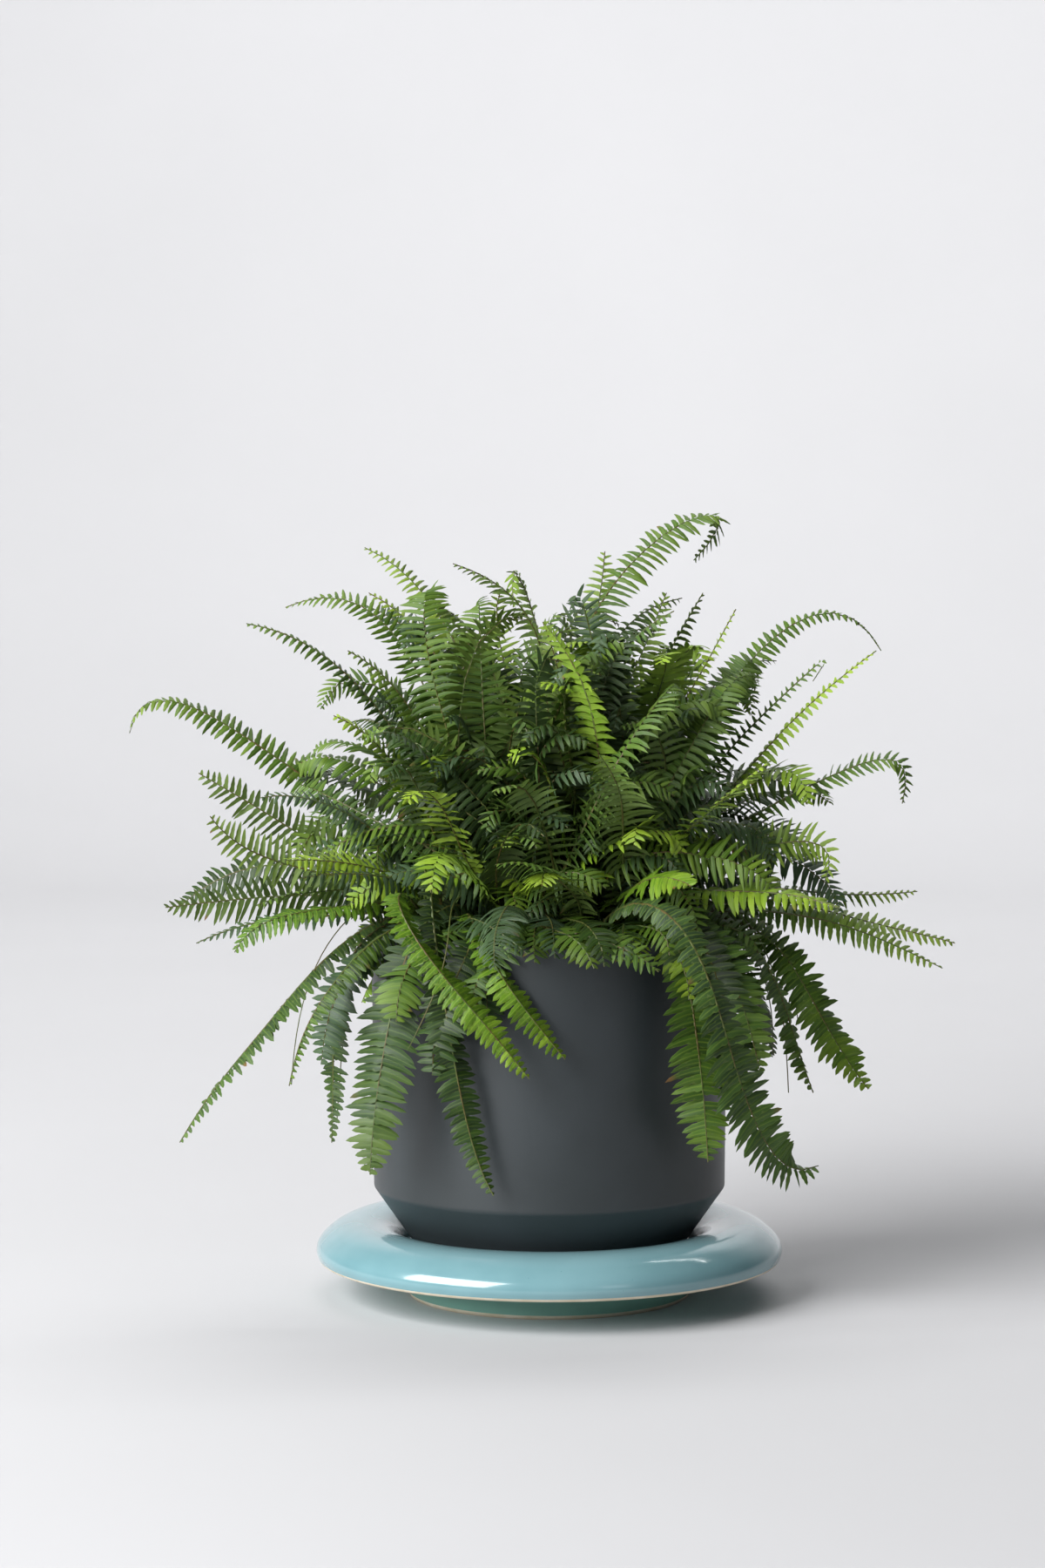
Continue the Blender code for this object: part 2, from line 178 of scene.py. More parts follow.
CROWN_FRONDS = (
    Frond(80, -40, 409, 110, -143, 0.53, 16, -30, -11, "leaf_mid", 0.98),
    Frond(-20, -10, 383, 75, -80, 0.45, 17, 40, -130),
    Frond(31, -60, 414, 86, 82, 0.30, 17),
    Frond(-27, -70, 391, 86, 150, 0.15, 16),
    Frond(-4, 30, 375, 88, 68, 0.30, 18, 0, 77),
    Frond(65, -40, 391, 78, 62, 0.30, 16),
    Frond(85, -10, 391, 74, 58, 0.30, 15, -40),
    Frond(103, 25, 382, 68, 60, 0.30, 10),
    Frond(-102, -45, 416, 76, 20, 0.30, 13),
    Frond(-100, -15, 391, 72, 25, 0.30, 11),
    Frond(-73, 25, 386, 80, 5, 0.30, 18, 30),
    Frond(64, 30, 319, 80, 75, 0.30, 18),
)


# Curves of the fronds, as in the part's source


def unit(rows):
    """Vectors drawn to length 1."""
    return rows / np.linalg.norm(rows, axis=-1, keepdims=True)


def bezier(handles, t):
    """Bezier curve at shares t: handle k of n + 1 counts C(n, k) (1 - t)^(n - k) t^k times."""
    n = len(handles) - 1
    return sum(math.comb(n, k) * (1 - t) ** (n - k) * t**k * np.array(h) for k, h in enumerate(handles))


def way(elevation, bearing):
    """Unit vector at an elevation and a bearing in degrees."""
    e, b = math.radians(elevation), math.radians(bearing)
    return np.array([math.cos(e) * math.cos(b), math.cos(e) * math.sin(b), math.sin(e)])


def tip_of(frond):
    """Tip in the part's frame: what is nearer the viewer is smaller than it looks."""
    k = (VIEW_AWAY - frond.toward) / VIEW_AWAY
    return np.array([frond.seen_x * k, -frond.toward, VIEW_UP - (VIEW_UP - frond.seen_z) * k])


def root_of(frond, in_crown):
    """Where the stem leaves the soil: the steeper the frond, the nearer the middle."""
    tip = tip_of(frond)
    bearing = math.atan2(tip[1], tip[0]) + math.radians(frond.veer)
    lean = 1 - min(frond.rise, 90) / 90
    upright, level = CROWN_FEET if in_crown else FREE_FEET
    radius = frond.foot or upright + level * lean
    return np.array([radius * math.cos(bearing), radius * math.sin(bearing), SOIL_TOP])


def spine(frond, root, shares):
    """Points, headings, sideways and upward directions at shares of the length, and the length in mm.

    The midrib is a Bezier curve of five handles: its root, a sprout straight up, the rise, the fall and the tip.
    """
    tip = tip_of(frond)
    chord = np.linalg.norm(tip - root)
    carry = (chord + max(0, SOIL_TOP - tip[2])) * frond.push
    go = math.degrees(math.atan2(tip[1] - root[1], tip[0] - root[0]))
    handles = (
        root,
        root + np.array([0, 0, SPROUT]),
        root + way(frond.rise, go + frond.veer) * carry,
        tip - way(frond.fall, go - frond.veer) * chord * frond.hold,
        tip,
    )
    fine = np.linspace(0, 1, CURVE_STEPS)[:, None]
    steps = np.linalg.norm(np.diff(bezier(handles, fine), axis=0), axis=1)
    arc = np.concatenate([[0], np.cumsum(steps)])
    shares = np.asarray(shares)
    t = np.interp(shares * arc[-1], arc, fine[:, 0])[:, None]
    ahead = unit(bezier(handles, np.clip(t + NUDGE, 0, 1)) - bezier(handles, np.clip(t - NUDGE, 0, 1)))
    level = way(0, go + 90)
    side = unit(level - (ahead @ level)[:, None] * ahead)
    turn = math.radians(frond.roll) * np.clip(shares / ROLL_BY, 0, 1)[:, None]
    side = side * np.cos(turn) + np.cross(ahead, side) * np.sin(turn)
    return bezier(handles, t), ahead, side, np.cross(ahead, side), arc[-1]


def leaflet_length(frond, share):
    """Leaflet length at a share s of the leafy part: it swells to the widest place, then tapers to a fine tip.

    It swells with (s / widest)^0.8, and tapers with (1 - r^2)^0.85 at share r of the way on to the tip.
    """
    grow = FOOT_LENGTH + (1 - FOOT_LENGTH) * np.clip(share / WIDEST_AT, 0, 1) ** 0.8
    taper = (1 - np.clip((share - WIDEST_AT) / (1 - WIDEST_AT), 0, 1) ** 2) ** 0.85
    return frond.width * grow * (TIP_LENGTH + (1 - TIP_LENGTH) * taper)


def plain_tree(frond, in_crown, swell=0.0):
    """Search tree of the plain CAD frond: a square midrib with a wedge drawn out of each wall."""
    root = root_of(frond, in_crown)
    length = spine(frond, root, [0, 1])[4]
    bare_share = CROWN_BARE_SHARE if in_crown else BARE_SHARE
    pairs = round(length * (1 - bare_share) / LEAF_PITCH)
    pairs = max(LEAST_PAIRS, min(MOST_PAIRS, pairs))
    bare = np.linspace(0, bare_share, BARE_SEGMENTS + 1)
    leafy = np.linspace(bare_share, bare_share + (1 - bare_share) * LAST_LEAFLET, pairs + 1)
    shares = np.concatenate([bare, leafy[1:]])
    spots, _, side, up, _ = spine(frond, root, shares)
    half = ((STEM_HALF + (STEM_TIP_HALF - STEM_HALF) * shares)[:, None] + swell)[:, None]
    across = np.array([1, -1, -1, 1])[:, None]
    above = np.array([1, 1, -1, -1])[:, None] * STEM_FLAT
    corners = spots[:, None] + side[:, None] * half * across + up[:, None] * half * above

    middle = (leafy[1:] + leafy[:-1]) / 2
    spots, ahead, side, up, _ = spine(frond, root, middle)
    long = leaflet_length(frond, (middle - BARE_SHARE) / (1 - BARE_SHARE))[:, None] + swell
    out = spots + ahead * long * LEAF_FORWARD - up * long * LEAF_DROOP
    thick = up * (LEAF_HALF_THICK + swell)
    ends = [out + side * long * sign + thick * face for sign in (1, -1) for face in (1, -1)]
    end, _, _, up, _ = spine(frond, root, [1])
    last = np.concatenate([end + up * LEAF_HALF_THICK, end - up * LEAF_HALF_THICK])
    points = np.concatenate(
        [corners[0] - [0, 0, STEM_DEPTH], corners.reshape(-1, 3), np.stack(ends, 1).reshape(-1, 3), last]
    )

    # Triangles of a length of midrib: above and below, its bare walls, and the wedges in place of leafy walls
    rings = len(shares)
    a = 4 * np.arange(rings)[:, None, None]
    flat = a + np.array([(0, 1, 4), (1, 5, 4), (7, 2, 3), (6, 2, 7)])
    walls = a[: BARE_SEGMENTS + 1] + np.array([(3, 0, 7), (7, 0, 4), (1, 2, 6), (5, 1, 6)])
    a = a[BARE_SEGMENTS + 1 :]
    to_wedge = 4 * (rings + 1 + np.arange(pairs))[:, None, None] - a
    in_wedge = to_wedge * np.array([(1, 0, 0), (0, 0, 1), (0, 0, 1), (1, 0, 1), (1, 0, 1), (1, 0, 0)])
    left = a + np.array([(0, 0, 4), (7, 3, 1), (3, 0, 1), (1, 0, 0), (0, 4, 1), (1, 4, 7)]) + in_wedge
    right = a + np.array([(2, 1, 5), (6, 2, 3), (2, 1, 3), (3, 1, 2), (2, 5, 3), (3, 5, 6)]) + in_wedge
    low, top = 4 * rings, len(points) - 2
    close = [(0, 2, 1), (0, 3, 2), (low, low + 1, top), (top + 1, low + 2, low + 3), (low + 3, low, top + 1)]
    close += [(top + 1, low, top), (low + 1, low + 2, top + 1), (top, low + 1, top + 1)]
    faces = np.concatenate([f.reshape(-1, 3) for f in (flat, walls, left, right, np.array(close))])
    return BVHTree.FromPolygons(points.tolist(), faces.tolist())


def filler(draw, least_rise, most_rise):
    """A frond of the round head, drawn at random."""
    bearing = math.radians(draw.uniform(0, 360))
    rise = draw.uniform(least_rise, most_rise)
    out = np.interp(rise, RISES, REACHES) * draw.uniform(0.86, 1.04)
    high = np.interp(rise, RISES, HEIGHTS) + draw.uniform(-25, 12)
    fall = min(-75 + 95 * (rise - 18) / 52, 20) + draw.uniform(-22, 22)
    toward = -out * math.sin(bearing)
    k = (VIEW_AWAY - toward) / VIEW_AWAY
    return Frond(
        seen_x=out * math.cos(bearing) / k,
        toward=toward,
        seen_z=VIEW_UP - (VIEW_UP - high) / k,
        rise=rise,
        fall=fall,
        hold=draw.uniform(0.28, 0.45),
        width=draw.uniform(13, 18),
        roll=draw.uniform(-25, 25),
        veer=draw.uniform(-8, 8),
        leaf=FILLER_LEAVES[draw.integers(2)],
    )


def all_fronds():
    """Free fronds and crown fronds: the listed ones, then fillers.

    A filler is kept where it clears every frond that it doesn't grow together with.
    """
    free = list(LEFT_FRONDS + FRONT_FRONDS + RIGHT_FRONDS)
    inner = list(CROWN_FRONDS)
    free_trees = [plain_tree(f, False) for f in free]
    inner_trees = [plain_tree(f, True) for f in inner]
    wanted = len(free) + FILLERS
    draw = np.random.default_rng(FILLER_SEED)
    for _ in range(FILLER_DRAWS):
        if len(free) == wanted:
            break
        frond = filler(draw, *FREE_RISES)
        trial = plain_tree(frond, False, CLEAR)
        if not any(trial.overlap(tree) for tree in free_trees + inner_trees):
            free.append(frond)
            free_trees.append(plain_tree(frond, False))
    wanted = len(inner) + CROWN_FILLERS
    for _ in range(FILLER_DRAWS):
        if len(inner) == wanted:
            break
        frond = filler(draw, *CROWN_RISES)
        trial = plain_tree(frond, True, CLEAR)
        if not any(trial.overlap(tree) for tree in free_trees):
            inner.append(frond)
    return free, inner


# Shapes of the fine fronds

RIB_STRIP = 0.94
CELL_MARGIN = 0.04
END_CORNER = 0.05


class Shape(NamedTuple):
    """Points, four-cornered faces with their finish and place on the bake map, and two marks to a point.

    The leaflet mark is the share along the leaflet, the share from midvein to margin, 1 above and 0 below, and
    a number drawn for the leaflet. The growth mark is youth, the frond's shade, a painted bluish sheen and
    dryness.
    """

    points: np.ndarray
    faces: np.ndarray
    finish: np.ndarray
    atlas: np.ndarray
    leaflet: np.ndarray
    growth: np.ndarray


def joined(shapes):
    """Shapes as one: their arrays end to end, with the faces counted on."""
    starts = np.cumsum([0] + [len(s.points) for s in shapes[:-1]])
    counted = [s._replace(faces=s.faces + start) for s, start in zip(shapes, starts)]
    return Shape(*(np.concatenate(rows) for rows in zip(*counted)))


def tiled(shapes):
    """Shapes as one, with their bake maps side by side in a square grid."""
    side = math.ceil(math.sqrt(len(shapes)))
    cells = [np.array([i % side, i // side]) for i in range(len(shapes))]
    return joined([s._replace(atlas=(s.atlas + cell) / side) for s, cell in zip(shapes, cells)])


def tube_faces(rings, sides):
    """Faces of a closed tube: a quad for each side between two rings, and its ends cut into quads.

    The rings run round against the tube's heading, so that the faces point outward.
    """
    i, k = np.meshgrid(np.arange(rings - 1), np.arange(sides), indexing="ij")
    a, b = i * sides + k, i * sides + (k + 1) % sides
    walls = np.stack([a, a + sides, b + sides, b], -1).reshape(-1, 4)
    fan = np.array([(0, j, j + 1, j + 2) for j in range(1, sides - 2, 2)])
    return np.concatenate([walls, fan, fan[:, ::-1] + (rings - 1) * sides])


def tube_atlas(rings, sides):
    """Bake map of such a tube, unrolled on the unit square: along it, then round it.

    The quads of its ends get a small corner of the square.
    """
    i, k = np.meshgrid(np.arange(rings - 1), np.arange(sides), indexing="ij")
    u = np.stack([i, i + 1, i + 1, i], -1) / (rings - 1)
    v = np.stack([k, k, k + 1, k + 1], -1) / sides
    walls = np.stack([u, v], -1).reshape(-1, 4, 2)
    corner = np.array([(0, 0), (0, 1), (1, 1), (1, 0)]) * END_CORNER
    ends = np.repeat(corner[None], sides - 2, axis=0)
    return np.concatenate([walls, ends])


def rod_shape(spots, side, up, radius, sides, finish=0, growth=(0.5, 0.5, 0, 0)):
    """A round rod along a path: at each point a ring of the given radius in the plane of side and up."""
    rings = len(spots)
    turn = -np.arange(sides) * math.tau / sides
    ring = side[:, None] * np.cos(turn)[:, None] + up[:, None] * np.sin(turn)[:, None]
    points = spots[:, None] + ring * np.reshape(radius, (-1, 1, 1))
    faces = tube_faces(rings, sides)
    atlas = tube_atlas(rings, sides) * [1, 1 - RIB_STRIP] + [0, RIB_STRIP]
    along = np.repeat(np.linspace(0, 1, rings), sides)
    marks = np.stack([along, np.zeros_like(along), np.ones_like(along), np.full_like(along, 0.5)], -1)
    growth = np.broadcast_to(growth, (len(along), 4))
    return Shape(points.reshape(-1, 3), faces, np.full(len(faces), finish), atlas, marks, growth)


# Leaflets: thickness in mm, and the rest as shares of the length, of the half width or of the ear

BLADE_THICK = 0.34
TIP_THICK = 0.25
BLADE_ARCH = 0.22
SCALLOP = 0.07
FOOT_WIDTH = 1.1
NARROWING = 0.35
TIP_WIDTH = 0.003
BLUNT_FROM = 0.4
EAR = 0.3
EAR_AT = 0.13
EAR_SPAN = 0.08
EAR_BACK = 0.3
RIPPLES = 15


class Leaflets(NamedTuple):
    """Leaflets in rows, one entry to each.

    Their foot and frame, the side of the midrib they stand on, their length and half width in mm, their bends
    in radians, and the ripple of their margins with its beat.
    """

    foot: np.ndarray
    ahead: np.ndarray
    side: np.ndarray
    up: np.ndarray
    sign: np.ndarray
    long: np.ndarray
    half: np.ndarray
    forward: np.ndarray
    sickle: np.ndarray
    droop: np.ndarray
    sag: np.ndarray
    twist: np.ndarray
    curl: np.ndarray
    ruffle: np.ndarray
    beat: np.ndarray


def leaflet_points(leaflets, rings):
    """Rings of four points along each leaflet: margin, midvein above, margin, midvein below.

    Its midvein heads sideways, turned forward by forward + sickle t and down by droop + sag t at share t of its
    length, and its points are the running sum of that heading. The blade stands square to it, turned about it
    by twist + curl t. Its half width is half x (1.1 - 0.35 t) x scallops, with a blunt tip (1 - r^2.1)^0.62 at
    share r of the way on from 0.4, and an ear on the forward side at 0.13. The margins hang by the arch and
    ripple by ruffle x sin(15 t + beat).
    """
    foot, ahead, side, up, sign, long, half, *bends, ruffle, beat = (row[:, None] for row in leaflets)
    forward, sickle, droop, sag, twist, curl = bends
    t = np.linspace(0, 1, rings)
    phi = (forward + sickle * t)[..., None]
    delta = (droop + sag * t)[..., None]
    tau = (twist + curl * t)[..., None]
    sign = sign[..., None]
    out = side * sign
    level = np.cos(phi) * out + np.sin(phi) * ahead
    heading = np.cos(delta) * level - np.sin(delta) * up
    front = np.cos(phi) * ahead - np.sin(phi) * out
    above = np.sin(delta) * level + np.cos(delta) * up
    front, above = front * np.cos(tau) + above * np.sin(tau), above * np.cos(tau) - front * np.sin(tau)
    steps = (heading[:, 1:] + heading[:, :-1]) / 2 * np.diff(t)[:, None] * long[..., None]
    vein = foot + np.concatenate([np.zeros_like(steps[:, :1]), np.cumsum(steps, axis=1)], axis=1)

    tail = np.clip((t - BLUNT_FROM) / (1 - BLUNT_FROM), 0, 1)
    blunt = np.clip(1 - tail**2.1, TIP_WIDTH, 1) ** 0.62
    ear = EAR * np.exp(-(((t - EAR_AT) / EAR_SPAN) ** 2))
    scallop = 1 + SCALLOP * np.where(np.arange(rings) % 2, 1, -1)
    wide = half * blunt * scallop * (FOOT_WIDTH - NARROWING * t)
    forward_side, backward_side = (wide * (1 + ear))[..., None], (wide * (1 - EAR_BACK * ear))[..., None]
    first = np.where(sign > 0, forward_side, backward_side)
    third = np.where(sign > 0, backward_side, forward_side)
    across = front * sign
    wave = (ruffle * np.sin(RIPPLES * t + beat))[..., None]
    hang = above * wide[..., None]
    thick = above * BLADE_THICK / 2 * (TIP_THICK + (1 - TIP_THICK) * blunt)[:, None]
    ring = [
        vein + across * first - hang * (BLADE_ARCH + wave),
        vein + thick,
        vein - across * third - hang * (BLADE_ARCH - wave),
        vein - thick,
    ]
    return np.stack(ring, axis=2)


def leaflet_shape(leaflets, rings, chance, growth):
    """Leaflets as one shape. A grid of cells, one to each, makes the bake map beside the midrib's strip."""
    points = leaflet_points(leaflets, rings)
    count = len(chance)
    starts = np.arange(count) * rings * 4
    faces = tube_faces(rings, 4)[None] + starts[:, None, None]
    columns = max(1, round(math.sqrt(count / 4)))
    rows = math.ceil(count / columns)
    cell = np.stack([np.arange(count) % columns, np.arange(count) // columns], -1)[:, None, None]
    in_cell = CELL_MARGIN + (1 - 2 * CELL_MARGIN) * tube_atlas(rings, 4)
    atlas = (in_cell + cell) / [columns, rows] * [1, RIB_STRIP]
    t = np.broadcast_to(np.linspace(0, 1, rings)[:, None], (rings, 4))
    to_margin = np.broadcast_to([1, 0, 1, 0], t.shape)
    is_above = np.broadcast_to([0.5, 1, 0.5, 0], t.shape)
    marks = np.broadcast_to(np.stack([t, to_margin, is_above], -1), (count, rings, 4, 3))
    drawn = np.broadcast_to(chance[:, None, None, None], (count, rings, 4, 1))
    return Shape(
        points.reshape(-1, 3),
        faces.reshape(-1, 4),
        np.zeros(faces.shape[0] * faces.shape[1], int),
        atlas.reshape(-1, 4, 2),
        np.concatenate([marks, drawn], -1).reshape(-1, 4),
        np.repeat(growth, rings * 4, axis=0),
    )


# Growth of the fine fronds: lengths in mm, angles in degrees


class Habit(NamedTuple):
    """How the fronds of a leaf colour grow.

    Youth at the foot and what the tip adds, least and most fullness of the rows, ripple of the margins, least
    and most twist and least and most sag of a leaflet, and the most painted bluish sheen, a painted reflection
    of the sky.
    """

    youth: float
    tip_youth: float
    full: tuple
    ruffle: float
    twist: tuple
    sag: tuple
    painted_sheen: float


# The last column is the most painted bluish sheen, a painted reflection of the sky on the leaves
HABITS = {
    "leaf_dark": Habit(0.05, 0.30, (0.54, 0.72), 0.05, (-6, 20), (26, 58), 0.5),
    "leaf_mid": Habit(0.25, 0.40, (0.54, 0.74), 0.08, (-8, 22), (22, 54), 0.2),
    "leaf_bright": Habit(0.42, 0.50, (0.64, 0.88), 0.22, (-14, 14), (14, 44), 0.0),
}


class Traits(NamedTuple):
    """What sets a frond off from its habit: its youth as a share of it, how slim its tail is, and a turn."""

    tone: float = 1
    slim: float = 0
    turn: float = 0


class Detail(NamedTuple):
    """How finely a frond is made: rings along a leaflet, rings along the midrib, and sides round it."""

    leaflet_rings: int
    rib_rings: int
    rib_sides: int


NEAR = Detail(7, 24, 6)
FILL = Detail(5, 12, 4)

# Bends of a leaflet: at rest, by slow waves along the row, and by chance from one to the next
BENDS = {
    "forward": (3, 0, 3.5),
    "sickle": (12, 8, 0),
    "droop": (4, 6, 4),
    "weight": (0, 12, 6),
    "sag": (0, 0, 4),
    "twist": (0, 11, 8),
    "curl": (0, 0, 14),
}
WAVES = (6, 10.2, 15.6, 7.8)
TIP_FORWARD = 30
HANGING_FORWARD = 8
SLENDER_DROOP = 26

# Midrib: its radii, slow sways, roll to and fro, and the share of its length by which it has turned
RIB_RADIUS = 0.95
RIB_TIP_RADIUS = 0.3
RIB_TAPER = 0.8
SIDE_SWAY = 1.6
SIDE_BEAT = 7
UP_SWAY = 1.2
UP_BEAT = 9
ROLL_SWING = (8, 24)
ROLLS = (0.6, 1.4)
TURN_BY = 0.3

# A midrib counts as hanging as its heading falls below 0.1, fully so at -0.61
DROP_FROM = 0.1
DROP_STEEP = 1.4

# Turns of a frond's face: toward the window, and toward the viewer, less so for slender fronds and behind
FACE_TURN = 38
ROLL_ROOM = 10
FACE_SHARE = 0.85
BROAD_WIDTHS = (12, 17)
BEHIND = (75, 150)

# Rows of leaflets
PITCH = 4.3
HANGING_PITCH = 4.5
SLENDER_PITCH = 3.8
STEP_SHRINK = 0.12
LOST = 0.012
SIZE_CHANCE = 0.07
FULL_LONG = 12
BROADEST = 0.42
SLENDER_BELOW = 15
SLENDER_SPAN = 4
TAIL = (0.4, 0.8)
SLENDER_THIN = 0.15
SLIM_THIN = 0.5
LATE = 2.1
HANGING_LATE = 3.0
SLENDER_LATE = 1.6
HANGS = (SOIL_TOP - 40, SOIL_TOP + 10)
HANGING_FULL = 1.08
HANGING_AGED = 0.6
HANGING_SAG = 0.1
ROOT_SIDE = 0.5
ROOT_UP = 0.35
TIP_GREENING = 2.2
DRY_MIX = 7.13


def bend(kind, slow=0.0, chance=0.0, more=0.0):
    """A bend of leaflets in radians: at rest and what is added to that, by a slow wave and by chance."""
    rest, wave, spread = BENDS[kind]
    return np.radians(rest + more + wave * slow + spread * chance)


def rib_radius(share):
    """Radius of the midrib: it narrows with the 0.8th power of the share of its length."""
    return RIB_RADIUS + (RIB_TIP_RADIUS - RIB_RADIUS) * share**RIB_TAPER


def face_turns(frond, slim):
    """Degrees that turn a frond's face toward the window where it stands free, and the viewer where it hangs.

    Broad fronds show their faces where they hang, and slender ones stay edge on.
    """
    x, y, _ = tip_of(frond)
    swing = math.degrees(math.atan2(x, -y))
    free = np.clip(FACE_TURN + ROLL_ROOM - abs(frond.roll), 0, FACE_TURN) * math.sin(math.radians(swing))
    broad = np.interp(frond.width, BROAD_WIDTHS, (0, 1)) * (1 - slim)
    hung = FACE_SHARE * swing * np.interp(abs(swing), BEHIND, (1, 0)) - frond.roll
    return free, hung * broad


def fine_frond(frond, root, bare_share, draw, traits=Traits(), detail=NEAR, late=LATE):
    """A frond with all its leaflets on a round midrib.

    The midrib follows the plain frond's curve, set off by up to 1.6 mm, rolled to and fro by slow sines and
    turned to show its face. The leaflets stand alternately, their step shrinking from 1.12 to 0.88 of the
    pitch toward the tip. Their length is the plain one's at share^late of the row, with 7% of chance, and
    less in the tail of a slender frond. They sag by gravity: away from the face where it looks up, toward
    the foot where the midrib rises and toward the tip where it hangs. Fronds that hang are fuller and older,
    and broad ones keep their width longer.
    """
    habit = HABITS[frond.leaf]
    hanging = np.interp(tip_of(frond)[2], HANGS, (1, 0))
    slender = np.clip((SLENDER_BELOW - frond.width) / SLENDER_SPAN + traits.slim, 0, 1)
    full = draw.uniform(*habit.full)
    full += (HANGING_FULL - full) * hanging
    length = spine(frond, root, [0, 1])[4]
    beats = draw.uniform(0, math.tau, 8)
    roll_swing = math.radians(draw.uniform(*ROLL_SWING))
    rolls = draw.uniform(*ROLLS)
    twist = draw.uniform(*habit.twist)
    heft = draw.uniform(*habit.sag)
    shade = draw.uniform(0, 1)
    youth = habit.youth * traits.tone * (1 - HANGING_AGED * hanging)
    # Painted bluish sheen, drawn for the frond: it stands for the sky's reflection on the leaves
    painted_sheen = draw.uniform(0, habit.painted_sheen)
    free, hung = face_turns(frond, traits.slim)

    def run(shares):
        """Points, headings, sideways and upward directions of the swayed and turned midrib."""
        spots, ahead, side, up, _ = spine(frond, root, shares)
        sway = np.sin(np.pi * np.clip(shares, 0, 1))[:, None]
        spots = spots + side * SIDE_SWAY * sway * np.sin(SIDE_BEAT * shares + beats[0])[:, None]
        spots = spots + up * UP_SWAY * sway * np.sin(UP_BEAT * shares + beats[1])[:, None]
        roll = roll_swing * np.sin(math.tau * rolls * shares + beats[2])[:, None] * sway
        drop = np.clip(DROP_STEEP * (DROP_FROM - ahead[:, 2:]), 0, 1)
        turn = np.radians(traits.turn + free + (hung - free) * drop)
        angle = roll + turn * np.clip(shares / TURN_BY, 0, 1)[:, None]
        side, up = side * np.cos(angle) + up * np.sin(angle), up * np.cos(angle) - side * np.sin(angle)
        return spots, ahead, side, up

    # Midrib, from its foot in the soil to its tip
    shares = np.linspace(0, 1, detail.rib_rings)
    spots, _, side, up = run(shares)
    spots = np.concatenate([spots[:1] - [0, 0, STEM_DEPTH], spots])
    side, up = np.concatenate([side[:1], side]), np.concatenate([up[:1], up])
    radius = rib_radius(np.concatenate([[0], shares]))
    rib = rod_shape(spots, side, up, radius, detail.rib_sides, 1, (youth, shade, 0, 0))

    # Leaflets, left and right in turn
    hanging_pitch = HANGING_PITCH + (SLENDER_PITCH - HANGING_PITCH) * slender
    leafy = length * (1 - bare_share)
    pairs = int(leafy / (PITCH + (hanging_pitch - PITCH) * hanging))
    number = np.arange(pairs * 2)
    row = (number + 1.0) / (len(number) + 1)
    share = row * (1 + STEP_SHRINK - STEP_SHRINK * row)
    along = bare_share + (1 - bare_share) * share
    sign = np.where(number % 2, 1.0, -1.0)
    kept = draw.uniform(size=len(number)) > LOST
    tremble = draw.normal(size=(8, len(number)))
    chance = draw.uniform(size=len(number))
    slow = [np.sin(wave * share + beat) for wave, beat in zip(WAVES, beats[3:7])]
    spots, ahead, side, up = run(along)
    thin = 1 - (SLENDER_THIN * slender + SLIM_THIN * traits.slim) * np.interp(share, TAIL, (0, 1))
    late += (HANGING_LATE - SLENDER_LATE * slender - late) * hanging
    long = leaflet_length(frond, share**late) * thin * (1 + SIZE_CHANCE * tremble[0])
    step = leafy / pairs * (1 + STEP_SHRINK - 2 * STEP_SHRINK * share)
    short = 0.5 + 0.5 * np.clip(long / FULL_LONG, 0, 1)
    half = step / 2 * full * short * (1 + SIZE_CHANCE * tremble[1])
    radius = rib_radius(along)[:, None]
    weight = bend("weight", slow[2], tremble[5], heft)
    climb = ahead[:, 2] * np.where(ahead[:, 2] > 0, 1, HANGING_SAG)
    to_tip = (TIP_FORWARD + (HANGING_FORWARD - TIP_FORWARD) * hanging) * share**2
    leaflets = Leaflets(
        foot=spots + side * sign[:, None] * radius * ROOT_SIDE + up * radius * ROOT_UP,
        ahead=ahead,
        side=side,
        up=up,
        sign=sign,
        long=long,
        half=np.minimum(half, long * BROADEST),
        forward=bend("forward", chance=tremble[2], more=to_tip),
        sickle=bend("sickle", slow[0]) - weight * climb,
        droop=bend("droop", slow[1], tremble[4], SLENDER_DROOP * slender * hanging),
        sag=bend("sag", chance=tremble[3]) + weight * up[:, 2],
        twist=bend("twist", slow[3], tremble[6], twist),
        curl=bend("curl", chance=tremble[7]),
        ruffle=np.full(len(number), habit.ruffle),
        beat=chance * math.tau,
    )
    leaflets = Leaflets(*(values[kept] for values in leaflets))
    share, chance = share[kept], chance[kept]
    green = youth + habit.tip_youth * traits.tone * share**TIP_GREENING
    growth = np.stack(np.broadcast_arrays(green, shade, painted_sheen, chance * DRY_MIX % 1), -1)
    return joined([leaflet_shape(leaflets, detail.leaflet_rings, chance, growth), rib])


# Making the pieces

EDGE_ROOM = 3.0
EDGE_CLEAR = 0.05
LEAF_SHARP = 55


def drawn_in(points):
    """Points kept in the CAD box: the last 3 mm of each side hold what would reach past it.

    A coordinate x past the start s of those 3 mm goes to s + w (1 - exp(-(x - s) / w)), with w just under
    their width.
    """
    low, high = (np.array([c / MM for c in corner]) for corner in cad_box)
    room = EDGE_ROOM - EDGE_CLEAR
    over = np.maximum(points - (high - EDGE_ROOM), 0)
    points = points - over + room * (1 - np.exp(-over / room))
    under = np.maximum((low + EDGE_ROOM) - points, 0)
    under[:, 2] = 0
    return points + under - room * (1 - np.exp(-under / room))


